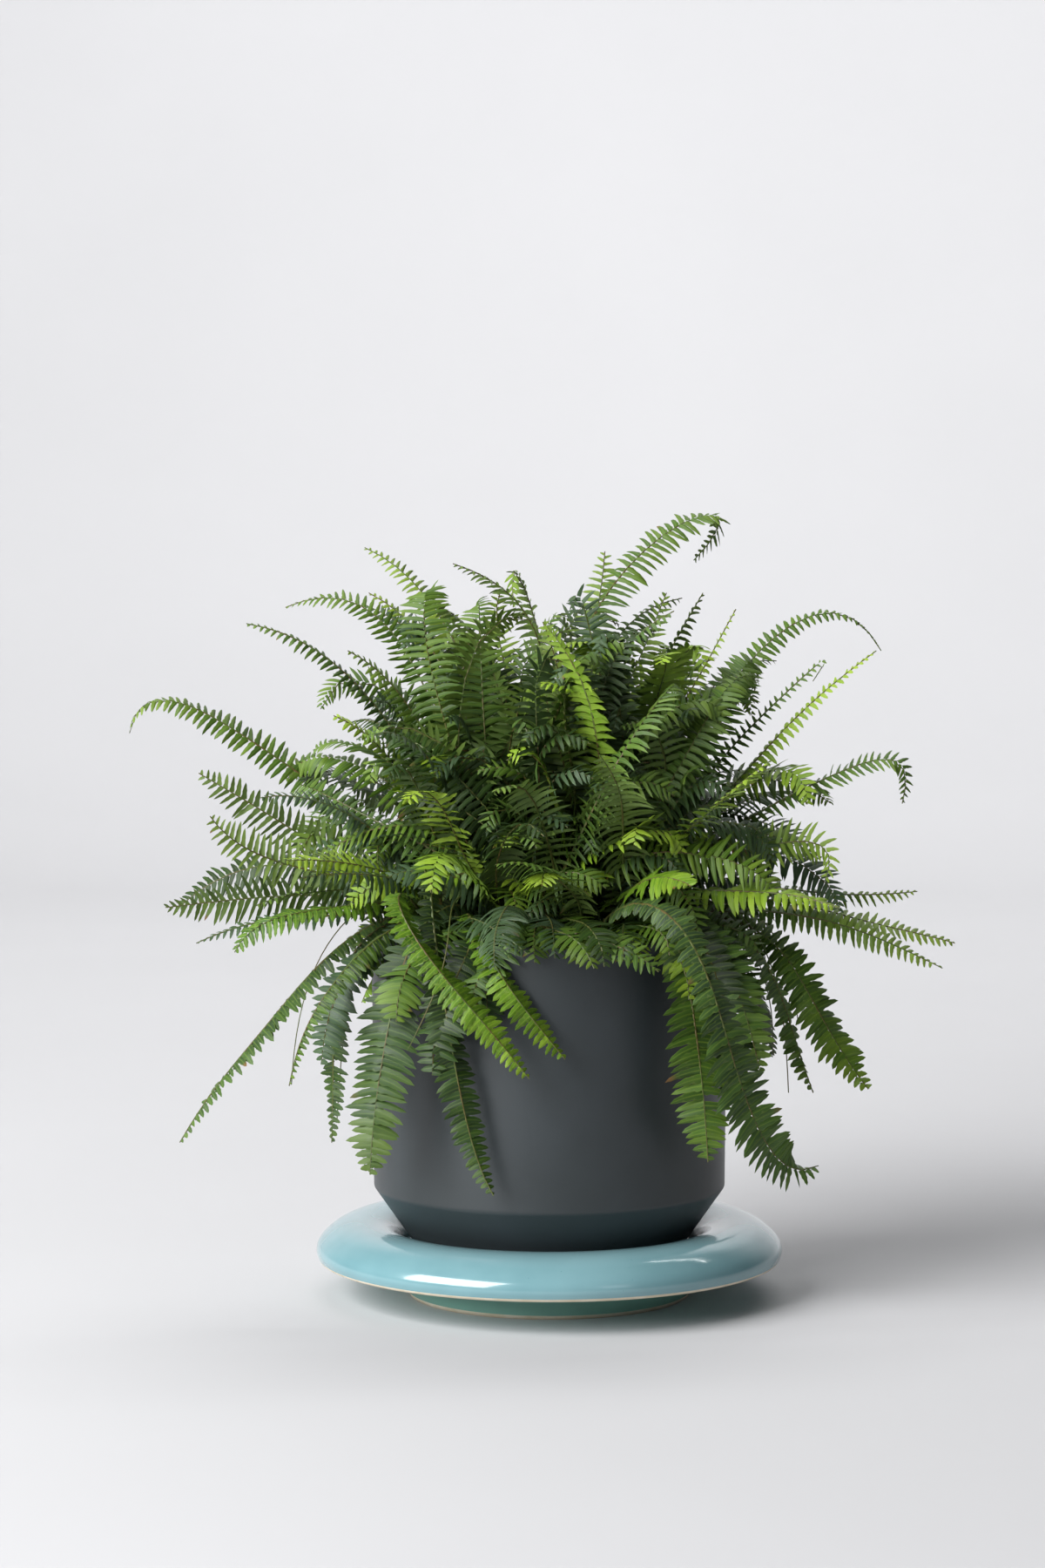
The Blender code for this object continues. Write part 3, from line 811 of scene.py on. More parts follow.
def piece(name, points, faces, materials, finish=None, sharp=None):
    """A mesh from points in mm and lists of faces that each have one number of corners."""
    faces = faces if isinstance(faces, (list, tuple)) else [faces]
    mesh = bpy.data.meshes.new(name)
    corners = np.concatenate([f.ravel() for f in faces])
    sizes = np.concatenate([np.full(len(f), f.shape[1]) for f in faces])
    starts = np.cumsum(sizes) - sizes
    mesh.vertices.add(len(points))
    mesh.vertices.foreach_set("co", (points * MM).astype(np.float32).ravel())
    mesh.loops.add(len(corners))
    mesh.loops.foreach_set("vertex_index", corners.astype(np.int32))
    mesh.polygons.add(len(sizes))
    mesh.polygons.foreach_set("loop_start", starts.astype(np.int32))
    for look in materials:
        mesh.materials.append(look)
    if finish is not None:
        mesh.polygons.foreach_set("material_index", finish.astype(np.int32))
    mesh.update(calc_edges=True)
    mesh.shade_smooth()
    if sharp:
        mesh.set_sharp_from_angle(angle=math.radians(sharp))
    obj = bpy.data.objects.new(name, mesh)
    bpy.context.scene.collection.objects.link(obj)
    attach(obj, "root")
    return obj


def frond_piece(name, shape, materials, slot, *nodes):
    """A piece from a shape of fronds, with its marks and its bake map, standing for CAD nodes."""
    obj = piece(name, drawn_in(shape.points), shape.faces, materials, shape.finish, LEAF_SHARP)
    for mark in ("leaflet", "growth"):
        layer = obj.data.attributes.new(mark, "FLOAT_COLOR", "POINT")
        layer.data.foreach_set("color", getattr(shape, mark).astype(np.float32).ravel())
    layer = obj.data.uv_layers.new(name="OFBake")
    layer.uv.foreach_set("vector", shape.atlas.astype(np.float32).ravel())
    if nodes:
        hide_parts(*nodes)


# Vessels and soil

CORNER_POINTS = 5
SHORT_SIDE = 0.42
HOLD = 1.5
OCTAVES = 3
SINES = 9
FADE = 0.55
SOIL_RADIUS = 92
CRUMB_SHAPE = (1.0, 0.75, 0.5)


def turned(profile, steps):
    """A profile turned about the upright axis: point i, j is (r_i cos a_j, r_i sin a_j, z_i).

    A profile that starts and ends on the axis gets a fan at each pole, and any other closes on itself.
    """
    profile = np.array(profile, float)
    has_poles = profile[0, 0] == 0
    rings = profile[1:-1] if has_poles else profile
    turn = np.arange(steps) * math.tau / steps
    r, z = rings[:, :1], rings[:, 1:]
    points = np.stack([r * np.cos(turn), r * np.sin(turn), z + 0 * turn], -1).reshape(-1, 3)
    count = len(rings)
    i, j = np.meshgrid(np.arange(count - 1 if has_poles else count), np.arange(steps), indexing="ij")
    a, b = i * steps, (i + 1) % count * steps
    k = (j + 1) % steps
    quads = np.stack([a + j, b + j, b + k, a + k], -1).reshape(-1, 4)
    if not has_poles:
        return points, [quads]
    top, low, last = len(points), len(points) + 1, (count - 1) * steps
    points = np.concatenate([points, [(0, 0, profile[0, 1])], [(0, 0, profile[-1, 1])]])
    j, k = np.arange(steps), (np.arange(steps) + 1) % steps
    fans = [np.stack([0 * j + top, j, k], -1), np.stack([0 * j + low, last + k, last + j], -1)]
    return points, [quads, np.concatenate(fans)]


def rounded(profile, radius):
    """A closed profile with its corners eased.

    Each corner p is cut back along both sides by the radius, or by 0.42 of a short side, and bridged by the
    curve (1-t)^2 a + 2t(1-t) p + t^2 b. A point just outside, 1.5 times as far, holds the side flat.
    """
    p = np.array(profile, float)

    def back(q, far):
        """Corners moved toward their neighbours q."""
        gap = q - p
        reach = far * radius / np.linalg.norm(gap, axis=1)
        return p + gap * np.minimum(reach, SHORT_SIDE * far**0.3)[:, None]

    before, after = np.roll(p, 1, 0), np.roll(p, -1, 0)
    t = np.linspace(0, 1, CORNER_POINTS)[:, None, None]
    bridge = bezier((back(before, 1), p, back(after, 1)), t)
    rows = np.concatenate([back(before, HOLD)[None], bridge, back(after, HOLD)[None]])
    return rows.transpose(1, 0, 2).reshape(-1, 2)


def curve_through(points, per):
    """Catmull-Rom curve through profile points, with `per` steps between two.

    It passes each point, and its slope there is half the step between the point's neighbours.
    """
    p = np.array(points, float)
    p = np.concatenate([[2 * p[0] - p[1]], p, [2 * p[-1] - p[-2]]])
    t = np.linspace(0, 1, per, endpoint=False)[:, None, None]
    a, b, c, d = p[:-3], p[1:-2], p[2:-1], p[3:]
    rows = b + t / 2 * (c - a) + t**2 * (a - 2.5 * b + 2 * c - d / 2) + t**3 * (1.5 * (b - c) + (d - a) / 2)
    return np.concatenate([rows.transpose(1, 0, 2).reshape(-1, 2), p[-2:-1]])


def lumps(points, size, seed):
    """Smooth noise of about -1 to 1 at points: sines along random directions, added up in three octaves.

    An octave has nine sines of wavelength near its size, and the next has half of the size and 0.55 of the
    height.
    """
    draw = np.random.default_rng(seed)
    total = np.zeros(len(points))
    for octave in range(OCTAVES):
        heading = unit(draw.normal(size=(SINES, 3)))
        wave = math.tau / (size * 0.5**octave * draw.uniform(0.7, 1.4, SINES))
        phase = points @ heading.T * wave + draw.uniform(0, math.tau, SINES)
        total += np.sin(phase).sum(axis=1) / (SINES / 2) * FADE**octave
    return total


def soil_swell(points):
    """How far the soil's surface lies off its level: clods of 22 and 6 mm, and a dip of 4 mm at the wall."""
    away = np.clip(np.hypot(points[:, 0], points[:, 1]) / SOIL_RADIUS, 0, 1)
    return lumps(points, 22, 31) * 1.6 + lumps(points, 6, 32) * 1.1 - 4 * away**4


def turns_of(draw, count):
    """Random turns, as 3 by 3 matrices: two drawn directions made square to each other, and their cross."""
    a, b = draw.normal(size=(2, count, 3))
    a = unit(a)
    b = unit(b - (a * b).sum(1)[:, None] * a)
    return np.stack([a, b, np.cross(a, b)], axis=1)


def crumbs(draw, centres, sizes):
    """Small lumps: a ball of four rings of six points, each point pushed out or in by up to a quarter.

    The ball is then drawn to a slim shape, turned at random and scaled.
    """
    count = len(centres)
    rings, sides = 4, 6
    t = np.linspace(0.12, 0.88, rings)[:, None] * math.pi
    turn = np.arange(sides) * math.tau / sides
    ball = [np.sin(t) * np.cos(turn), -np.sin(t) * np.sin(turn), -np.cos(t) + 0 * turn]
    ball = np.stack(ball, -1).reshape(-1, 3)
    points = ball[None] * draw.uniform(0.76, 1.24, (count, len(ball), 1)) * CRUMB_SHAPE
    points = np.einsum("nij,nkj->nki", turns_of(draw, count), points) * np.reshape(sizes, (-1, 1, 1))
    faces = tube_faces(rings, sides)[None] + (np.arange(count) * len(ball))[:, None, None]
    return (points + centres[:, None]).reshape(-1, 3), faces.reshape(-1, 4)


# Finishes


def linear(code):
    """sRGB hex to linear colour."""
    raw = [int(code[i : i + 2], 16) / 255 for i in (0, 2, 4)]
    return tuple(c / 12.92 if c <= 0.04045 else ((c + 0.055) / 1.055) ** 2.4 for c in raw) + (1.0,)


def node(tree, kind, inputs=None, out=0, ramp=None, **settings):
    """Adds a node with its settings, links and ramp, and returns one of its outputs, if it has any."""
    made = tree.nodes.new(kind)
    for name, value in settings.items():
        setattr(made, name, value)
    for key, value in (inputs or {}).items():
        if isinstance(value, bpy.types.NodeSocket):
            tree.links.new(value, made.inputs[key])
        else:
            made.inputs[key].default_value = value
    for place, (at, colour) in enumerate(ramp or ()):
        stops = made.color_ramp.elements
        stop = stops[place] if place < len(stops) else stops.new(at)
        stop.position = at
        stop.color = colour
    return made.outputs[out] if made.outputs else None


def finish(name):
    """A new material with an empty tree."""
    made = bpy.data.materials.new(name)
    made.use_nodes = True
    made.node_tree.nodes.clear()
    return made, made.node_tree


# Patterns to the metre: patches of 9 mm on blades, clouds of 42 mm and pinholes 8 mm apart in the glaze
VEINS = 11
BLADE_PATCHES = 110.0
GLAZE_CLOUDS = 24.0
PINHOLES = 130.0
# Painted bluish sheen: a painted reflection of the sky on the leaves
PAINTED_SHEEN_COLOUR = "607A62"
DRY_COLOUR = "7A5A33"
GLOW_COLOUR = "8FBA34"


def blade(name, old, grown, young, under):
    """Living fern blade, thin and leathery: light falls through it, so that leaves against the light glow.

    Its green goes from old to young with the growth mark, varies from leaflet to leaflet and in soft patches of
    9 mm. The midvein is paler, and the margins are paler as a painted highlight. The side veins are faint ribs,
    drawn 11 to a leaflet, coarser than real so that they show. The underside is duller, some fronds carry a
    painted bluish sheen that stands for the sky's reflection, and a few old leaflets are brown at the tip.
    """
    made, tree = finish(name)
    growth = node(tree, "ShaderNodeAttribute", attribute_name="growth")
    youth, shade, painted_sheen = node(tree, "ShaderNodeSeparateColor", {0: growth}).node.outputs
    leaflet = node(tree, "ShaderNodeAttribute", attribute_name="leaflet")
    along, across, face = node(tree, "ShaderNodeSeparateColor", {0: leaflet}).node.outputs
    dry, chance = growth.node.outputs["Alpha"], leaflet.node.outputs["Alpha"]
    place = node(tree, "ShaderNodeTexCoord", out=3)
    patches = node(tree, "ShaderNodeTexNoise", {"Vector": place, "Scale": BLADE_PATCHES, "Detail": 3.0})

    # Age: what each mark adds to the youth, as a place on the ramp of greens
    age = youth
    for mark, share in ((chance, 0.30), (shade, 0.22), (patches, 0.30), (along, 0.10)):
        age = node(tree, "ShaderNodeMath", {0: mark, 1: share, 2: age}, operation="MULTIPLY_ADD")
    age = node(tree, "ShaderNodeMath", {0: age, 1: 0.40}, operation="SUBTRACT")
    greens = ((0.0, linear(old)), (0.42, linear(grown)), (1.0, linear(young)))
    colour = node(tree, "ShaderNodeValToRGB", {0: age}, ramp=greens)

    # Pale midvein, and margins made paler as a painted highlight
    rib = node(tree, "ShaderNodeMapRange", {0: across, 1: 0.0, 2: 0.2, 3: 0.5, 4: 0.0})
    margin = node(tree, "ShaderNodeMapRange", {0: across, 1: 0.72, 2: 1.0, 3: 0.0, 4: 0.35})
    for pale in (rib, margin):
        colour = node(tree, "ShaderNodeMix", {0: pale, 6: colour, 7: linear(young)}, 2, data_type="RGBA")

    # Side veins run out and forward: a sine of the share along less the share across
    slant = node(tree, "ShaderNodeMath", {0: across, 1: -0.25, 2: along}, operation="MULTIPLY_ADD")
    beat = node(tree, "ShaderNodeMath", {0: slant, 1: VEINS * math.tau}, operation="MULTIPLY")
    vein = node(tree, "ShaderNodeMath", {0: beat}, operation="SINE")
    darker = node(tree, "ShaderNodeMapRange", {0: vein, 1: -1.0, 2: 1.0, 3: 0.84, 4: 1.05})
    darker = node(tree, "ShaderNodeCombineColor", {0: darker, 1: darker, 2: darker})
    veined = {0: 1.0, 6: colour, 7: darker}
    colour = node(tree, "ShaderNodeMix", veined, 2, data_type="RGBA", blend_type="MULTIPLY")

    # Duller underside, a painted bluish sheen that stands for the sky's reflection, and brown tips on one
    # leaflet in a hundred
    low = node(tree, "ShaderNodeMath", {0: face, 1: 0.5}, operation="LESS_THAN")
    low = node(tree, "ShaderNodeMath", {0: low, 1: 0.55}, operation="MULTIPLY")
    sheen_share = node(tree, "ShaderNodeMath", {0: painted_sheen, 1: 0.75}, operation="MULTIPLY")
    tipped = node(tree, "ShaderNodeMapRange", {0: dry, 1: 0.985, 2: 0.995})
    burnt = node(tree, "ShaderNodeMapRange", {0: along, 1: 0.62, 2: 0.85})
    tipped = node(tree, "ShaderNodeMath", {0: tipped, 1: burnt}, operation="MULTIPLY")
    for share, code in ((low, under), (sheen_share, PAINTED_SHEEN_COLOUR), (tipped, DRY_COLOUR)):
        colour = node(tree, "ShaderNodeMix", {0: share, 6: colour, 7: linear(code)}, 2, data_type="RGBA")

    rough = node(tree, "ShaderNodeMapRange", {0: patches, 1: 0.3, 2: 0.7, 3: 0.36, 4: 0.5})
    bump = node(tree, "ShaderNodeBump", {"Height": vein, "Strength": 0.35, "Distance": 0.12 * MM})
    surface = {"Base Color": colour, "Roughness": rough, "Normal": bump, "IOR": 1.45}
    skin = node(tree, "ShaderNodeBsdfPrincipled", surface)
    glow = node(tree, "ShaderNodeMix", {0: 0.55, 6: colour, 7: linear(GLOW_COLOUR)}, 2, data_type="RGBA")
    glow = node(tree, "ShaderNodeBsdfTranslucent", {"Color": glow})
    both = node(tree, "ShaderNodeMixShader", {0: 0.18, 1: skin, 2: glow})
    node(tree, "ShaderNodeOutputMaterial", {0: both})
    return made


def plain(name, code, second, rough, patch, grain=0.0, height=0.0):
    """An opaque finish: its colour wanders toward a second one in patches, under a grain of small bumps.

    The patches are noise with its wavelength in mm, and so is the grain, whose height is in mm too.
    """
    made, tree = finish(name)
    place = node(tree, "ShaderNodeTexCoord", out=3)
    patches = node(tree, "ShaderNodeTexNoise", {"Vector": place, "Scale": 1 / (patch * MM), "Detail": 4.0})
    patches = node(tree, "ShaderNodeMapRange", {0: patches, 1: 0.32, 2: 0.68})
    colours = {0: patches, 6: linear(code), 7: linear(second)}
    inputs = {"Base Color": node(tree, "ShaderNodeMix", colours, 2, data_type="RGBA"), "Roughness": rough}
    if grain:
        fine = node(tree, "ShaderNodeTexNoise", {"Vector": place, "Scale": 1 / (grain * MM), "Detail": 3.0})
        bumps = {"Height": fine, "Strength": 1.0, "Distance": height * MM}
        inputs["Normal"] = node(tree, "ShaderNodeBump", bumps)
    skin = node(tree, "ShaderNodeBsdfPrincipled", inputs)
    node(tree, "ShaderNodeOutputMaterial", {0: skin})
    return made


def glaze():
    """Glossy celadon glaze poured over stoneware: clear coat over a body colour that pools in soft clouds.

    It breaks paler on the crown of the ring and has a few pinholes; the foot below the ring is painted greener
    and lighter, a painted reflection from below that also lifts the foot's shade.
    """
    made, tree = finish("glossy_celadon_glaze")
    place = node(tree, "ShaderNodeTexCoord", out=3)
    high = node(tree, "ShaderNodeSeparateXYZ", {0: place}, 2)
    clouds = node(tree, "ShaderNodeTexNoise", {"Vector": place, "Scale": GLAZE_CLOUDS, "Detail": 3.0})
    clouds = node(tree, "ShaderNodeMapRange", {0: clouds, 1: 0.3, 2: 0.7})
    # The foot's greener, lighter colour is a painted reflection from below, lifting the shade under the ring
    foot = node(tree, "ShaderNodeMapRange", {0: high, 1: 20.5 * MM, 2: 17.5 * MM})
    crown = node(tree, "ShaderNodeMapRange", {0: high, 1: 36 * MM, 2: 41.5 * MM, 3: 0.0, 4: 0.25})
    pins = node(tree, "ShaderNodeTexVoronoi", {"Vector": place, "Scale": PINHOLES})
    pins = node(tree, "ShaderNodeMapRange", {0: pins, 1: 0.03, 2: 0.06, 3: 0.5, 4: 0.0})
    colour = linear("6B939A")
    for share, code in ((clouds, "789FA6"), (foot, "7FAEA0"), (crown, "93B8BE"), (pins, "4F7F84")):
        colour = node(tree, "ShaderNodeMix", {0: share, 6: colour, 7: linear(code)}, 2, data_type="RGBA")
    body = {"Base Color": colour, "Roughness": 0.16, "IOR": 1.5, "Coat Weight": 0.6, "Coat Roughness": 0.03}
    skin = node(tree, "ShaderNodeBsdfPrincipled", body)
    node(tree, "ShaderNodeOutputMaterial", {0: skin})
    return made


# Fern blades, from old and dark to young and yellow: leathery, and glowing against the light
blades = {
    "leaf_dark": blade("old_fern_blade", "14240B", "2D4915", "647C29", "536332"),
    "leaf_mid": blade("grown_fern_blade", "20370D", "496A19", "87A232", "687B38"),
    "leaf_bright": blade("young_fern_blade", "365C16", "648B20", "9FBD38", "78903A"),
}
# Midribs: tough stalks that go from brown to green, with a faint grain
midrib = plain("wiry_fern_midrib", "57491F", "4B5E28", rough=0.55, patch=22, grain=1.2, height=0.15)
celadon = glaze()
# Bare fired clay: pale buff and dry, with a fine tooth
bare_clay = plain("bare_stoneware", "DDD3C0", "CFC2A8", rough=0.85, patch=9, grain=0.8, height=0.08)
# Stained stoneware without a glaze: an even charcoal with a soft sheen
charcoal = plain("matt_charcoal_stoneware", "2F3538", "2A3032", rough=0.42, patch=45, grain=0.55, height=0.05)
# Damp peat mix: nearly black, matt and crumbly
peat = plain("moist_peat_mix", "1C120C", "3A281B", rough=0.95, patch=5, grain=1.6, height=0.8)
# Pine bark: brown chips with paler fibres
bark = plain("pine_bark_chips", "4A3120", "6E4C31", rough=0.85, patch=4, grain=1.0, height=0.4)
# Perlite: chalky white grains
perlite = plain("perlite_grains", "D9D6CC", "B9B5A8", rough=0.9, patch=3, grain=0.8, height=0.2)
# Rootstock and rolled fronds: brown scales with green between them
scaly = plain("scaly_rootstock", "4B3A1E", "6F6A33", rough=0.75, patch=6, grain=1.5, height=0.7)

# Saucer: a puffy ring, its seam left bare, over a foot that is bare where it stands
STEPS = 192
SEAM = [(129.4, 21.3), (128.6, 20.2), (127.0, 19.5)]
WELL = [(0, WELL_FLOOR), (40, WELL_FLOOR), (76, WELL_FLOOR)]
RING = [(78, WELL_FLOOR), (81.2, 26), (83, 30.5), (86, 35.4), (90, 38.6), (95, 40.4), (102, 41.3)]
RING += [(111, 40.7), (119, 38.2), (125, 34), (129, 29.5), (130.2, 25), SEAM[0]]
FOOT = [(104, 18.2), (86, 16.5), (82, 14.3), (80.9, 12), (79.3, 2.2), (79.1, 1.4), (78.2, 0), (60, 0), (0, 0)]
RING_STEPS = 4
SEAM_BANDS = 2
STANDING_BANDS = 3
ring = curve_through(RING, RING_STEPS)
profile = np.concatenate([WELL, ring, SEAM[1:], FOOT])
points, faces = turned(profile, STEPS)
bands = np.zeros(len(profile) - 3, int)
seam = len(WELL) + len(ring) - 2
bands[seam : seam + SEAM_BANDS] = 1
bands[-STANDING_BANDS:] = 1
looks = np.concatenate([np.repeat(bands, STEPS), np.repeat([0, 1], STEPS)])
saucer = piece("glazed_saucer", points, faces, [celadon, bare_clay], looks)
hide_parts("saucer")

# Planter: straight wall over a chamfered foot
WALL = [
    (DRAIN_RADIUS, POT_FLOOR),
    (67.5, POT_FLOOR),
    (92.2, POT_CREASE + 4),
    (94.4, POT_TOP),
    (99, POT_TOP),
    (98, POT_CREASE),
    (73, POT_FOOT + 1),
    (71.8, POT_FOOT),
    (DRAIN_RADIUS, POT_FOOT),
]
WALL_EASE = 1.3
points, faces = turned(rounded(WALL, WALL_EASE), STEPS)
planter = piece("charcoal_planter", points, faces, [charcoal])
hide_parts("pot")

# Soil: crumbly top, a little lower toward the wall
SOIL_RINGS = 46
SOIL_SUNK = 2
rows = np.linspace(3, 91, SOIL_RINGS)
bed = [(0, SOIL_TOP)] + [(r, SOIL_TOP) for r in rows]
bed += [(92.4, SOIL_TOP - 4), (91.6, POT_CREASE + 4.2), (66.8, POT_FLOOR + GAP), (0, POT_FLOOR + GAP)]
points, faces = turned(bed, STEPS)
is_top = points[:, 2] > SOIL_TOP - 1
points[:, 2] += is_top * (soil_swell(points) - SOIL_SUNK)
soil = piece("soil_bed", points, faces, [peat])
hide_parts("soil")

# Bark chips and perlite that lie on it, half sunk
CRUMB_REACH = 88
CRUMB_SUNK = 1.6
draw = np.random.default_rng(41)
for name, count, least, most, look in (
    ("bark_chips", 460, 1.6, 4.2, bark),
    ("perlite_grains", 150, 0.8, 1.8, perlite),
):
    away = CRUMB_REACH * np.sqrt(draw.uniform(0.05, 1, count))
    turn = draw.uniform(0, math.tau, count)
    spots = np.stack([away * np.cos(turn), away * np.sin(turn), np.full(count, float(SOIL_TOP))], -1)
    spots[:, 2] += soil_swell(spots) - CRUMB_SUNK
    points, faces = crumbs(draw, spots, draw.uniform(least, most, count))
    piece(name, points, faces, [look])

# Rootstock with croziers, which are fronds still rolled up. Its radii, and depths below its top
CROWN_TOP = 195
MOUND = ((0, 0), (4, 0.2), (9, 1), (13, 2.4), (17, 4.5), (20, 8), (21, 12), (18, 21), (9, 30), (0, 31))
CROZIERS = 7
COIL_TURNS = 1.7
COIL_SHRINK = 0.86
RUNNERS = 9
points, faces = turned([(r, CROWN_TOP - depth) for r, depth in MOUND], 48)
points *= 1 + 0.05 * lumps(points, 9, 51)[:, None] * [1, 1, 0]
points[:, 2] += lumps(points, 7, 52) * 0.9
rootstock = piece("rootstock", points, faces, [scaly])
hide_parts("crown")


def crozier(draw):
    """A rolled frond: its stalk leans out from the rootstock, then winds up in a spiral of 1.7 turns.

    The spiral's radius falls from its own width to a seventh of it, evenly with the turn.
    """
    bearing, lean = draw.uniform(0, math.tau), draw.uniform(0.05, 0.35)
    high, coil = draw.uniform(42, 88), draw.uniform(4.5, 7)
    out = np.array([math.cos(bearing), math.sin(bearing), 0])
    level = np.array([-out[1], out[0], 0])
    top = np.array([0, 0, 1.0])
    t = np.linspace(0, 1, 16)[:, None]
    stalk = out * (9 + high * lean * t**1.5) + top * (SOIL_TOP - 6 + high * t)
    heading = unit(out * lean * 1.5 + top)
    inward = np.cross(heading, level)
    turn = np.linspace(0, COIL_TURNS * math.tau, 30)[1:, None]
    radius = coil * (1 - COIL_SHRINK * turn / turn[-1])
    hub = stalk[-1] + inward * coil
    spots = np.concatenate([stalk, hub - inward * radius * np.cos(turn) + heading * radius * np.sin(turn)])
    ahead = unit(np.gradient(spots, axis=0))
    side = np.repeat(level[None], len(spots), axis=0)
    thick = 1.5 - 0.8 * np.linspace(0, 1, len(spots))
    return rod_shape(spots, side, np.cross(ahead, side), thick, 8)


def runner(draw):
    """A wiry runner: a Bezier curve from the rootstock over the rim and slackly down, with a slow waver."""
    bearing, fall = draw.uniform(0, math.tau), draw.uniform(30, 95)
    reach = draw.uniform(112, 150)
    handles = [(8, SOIL_TOP), (45, SOIL_TOP + 55), (reach * 0.95, SOIL_TOP + 60), (reach, SOIL_TOP - fall)]
    t = np.linspace(0, 1, 40)[:, None]
    away, high = bezier(handles, t).T
    turn = bearing + 0.25 * np.sin(5 * t[:, 0] + bearing) * t[:, 0]
    spots = np.stack([away * np.cos(turn), away * np.sin(turn), high], -1)
    ahead = unit(np.gradient(spots, axis=0))
    side = np.stack([-np.sin(turn), np.cos(turn), 0 * turn], -1)
    side = unit(side - (side * ahead).sum(1)[:, None] * ahead)
    return rod_shape(spots, side, np.cross(ahead, side), 0.55 - 0.25 * t[:, 0], 6)


draw = np.random.default_rng(61)
coils = joined([crozier(draw) for _ in range(CROZIERS)])
piece("croziers", drawn_in(coils.points), coils.faces, [scaly])
wires = joined([runner(draw) for _ in range(RUNNERS)])
piece("runners", drawn_in(wires.points), wires.faces, [midrib])

# Fronds: a fine one for each plain one. Those that differ from their habit are listed by number
FRESH_BARE = 0.1
TRAITS = {
    2: Traits(turn=35),
    3: Traits(turn=30),
    4: Traits(turn=35),
    6: Traits(0.0),
    7: Traits(0.6, 0.45),
    8: Traits(slim=0.35),
    10: Traits(2.2),
    11: Traits(1.25),
    12: Traits(1.3),
    18: Traits(2.0, -0.3),
    19: Traits(slim=-0.5),
    20: Traits(slim=-0.5),
    22: Traits(0.6),
    24: Traits(0.8),
    25: Traits(1.1),
    26: Traits(1.4),
    27: Traits(1.5),
    28: Traits(1.4),
    29: Traits(2.0, turn=35),
    30: Traits(2.3, turn=35),
    31: Traits(1.5, turn=35),
    33: Traits(turn=40),
    34: Traits(1.6, turn=75),
    35: Traits(0.7, 0.5),
    36: Traits(slim=0.4),
    37: Traits(slim=0.35, turn=-15),
}
CROWN_TRAITS = {
    0: Traits(turn=35),
    2: Traits(1.3),
    3: Traits(1.8),
    4: Traits(1.8),
    7: Traits(2.2),
    8: Traits(2.2),
    9: Traits(2.0),
    14: Traits(3.0, turn=45),
}
free_fronds, inner_fronds = all_fronds()
for number, frond in enumerate(free_fronds, 1):
    draw = np.random.default_rng([71, number])
    shape = fine_frond(frond, root_of(frond, False), FRESH_BARE, draw, TRAITS.get(number, Traits()))
    looks = [blades[frond.leaf], midrib]
    frond_piece(f"fine_frond_{number:02d}", shape, looks, frond.leaf, f"frond_{number:02d}")
shapes = []
for number, frond in enumerate(inner_fronds):
    draw = np.random.default_rng([72, number])
    traits = CROWN_TRAITS.get(number, Traits())
    shapes.append(fine_frond(frond, root_of(frond, True), FRESH_BARE, draw, traits))
frond_piece("crown_fronds", tiled(shapes), [blades["leaf_mid"], midrib], "leaf_mid", "crown")


# Fronds that fill the head and cover the rim

DOMES = 150
SKIRTS = 56
DEEP = 16
DOME_FOOT = 208
DOME_HIGH = 186
DOME_OUT = 170
DOME_FRONT = 0.52
ALL_ROUND = 0.6
BARE_WALL = (258, 306)
SHORT_TIP = 202
SHORTENED = 0.85
FILL_BARE = 0.12
FILL_TONE = 0.88
FILL_LATE = 2.0
LEAF_ODDS = ("leaf_dark",) * 3 + ("leaf_mid",) * 4 + ("leaf_bright",)


def dome_frond(draw, place):
    """A frond of the round head: it rises steeply, arches over, and its tip nods in a half ellipsoid.

    At height share s the tip's radius is out x sqrt(1 - s^3), both shortened by up to a quarter, and the front
    stays back behind the listed fronds.
    """
    bearing = draw.uniform(0, math.tau) if draw.uniform() < ALL_ROUND else draw.uniform(-math.pi, 0)
    out = DOME_OUT * math.sqrt(1 - place**3) * draw.uniform(0.75, 1)
    out *= 1 - DOME_FRONT * max(0, -math.sin(bearing))
    high = DOME_FOOT + DOME_HIGH * place * draw.uniform(0.8, 1)
    tip = np.array([out * math.cos(bearing), out * math.sin(bearing), high])
    rise, fall = draw.uniform(52, 84), draw.uniform(-95, -35 + 70 * place)
    push, veer = draw.uniform(0.45, 0.7), draw.uniform(30, 75) * draw.choice([-1, 1])
    return short_frond(draw, tip, rise, fall, draw.uniform(16, 20), draw.uniform(-40, 40), veer, push)


def deep_frond(draw, aside):
    """A dark frond inside the head, to the left or right, that closes the view between the others: a real frond,
    given the darkest green as painted shade for the head's interior.
    """
    bearing, out = aside + draw.uniform(-0.9, 0.9), draw.uniform(80, 135)
    high = draw.uniform(205, 330)
    tip = np.array([out * math.cos(bearing), out * math.sin(bearing), high])
    rise, fall, veer = draw.uniform(45, 70), draw.uniform(-70, -10), draw.uniform(-30, 30)
    roll = draw.uniform(-40, 40)
    return short_frond(draw, tip, rise, fall, 18, roll, veer, 0.5)._replace(leaf="leaf_dark")


def skirt_frond(draw, bearing):
    """A short frond that leans on the rim and hangs its tip over it, less so where the pot's wall shows."""
    out, high, turn = draw.uniform(104, 124), draw.uniform(158, 200), math.radians(bearing)
    if BARE_WALL[0] < bearing < BARE_WALL[1]:
        high += (SHORT_TIP - high) * SHORTENED
    tip = np.array([out * math.cos(turn), out * math.sin(turn), high])
    rise, fall, veer = draw.uniform(36, 58), draw.uniform(-95, -65), draw.uniform(-20, 20)
    return short_frond(draw, tip, rise, fall, draw.uniform(12, 17), 0, veer, 0.42)


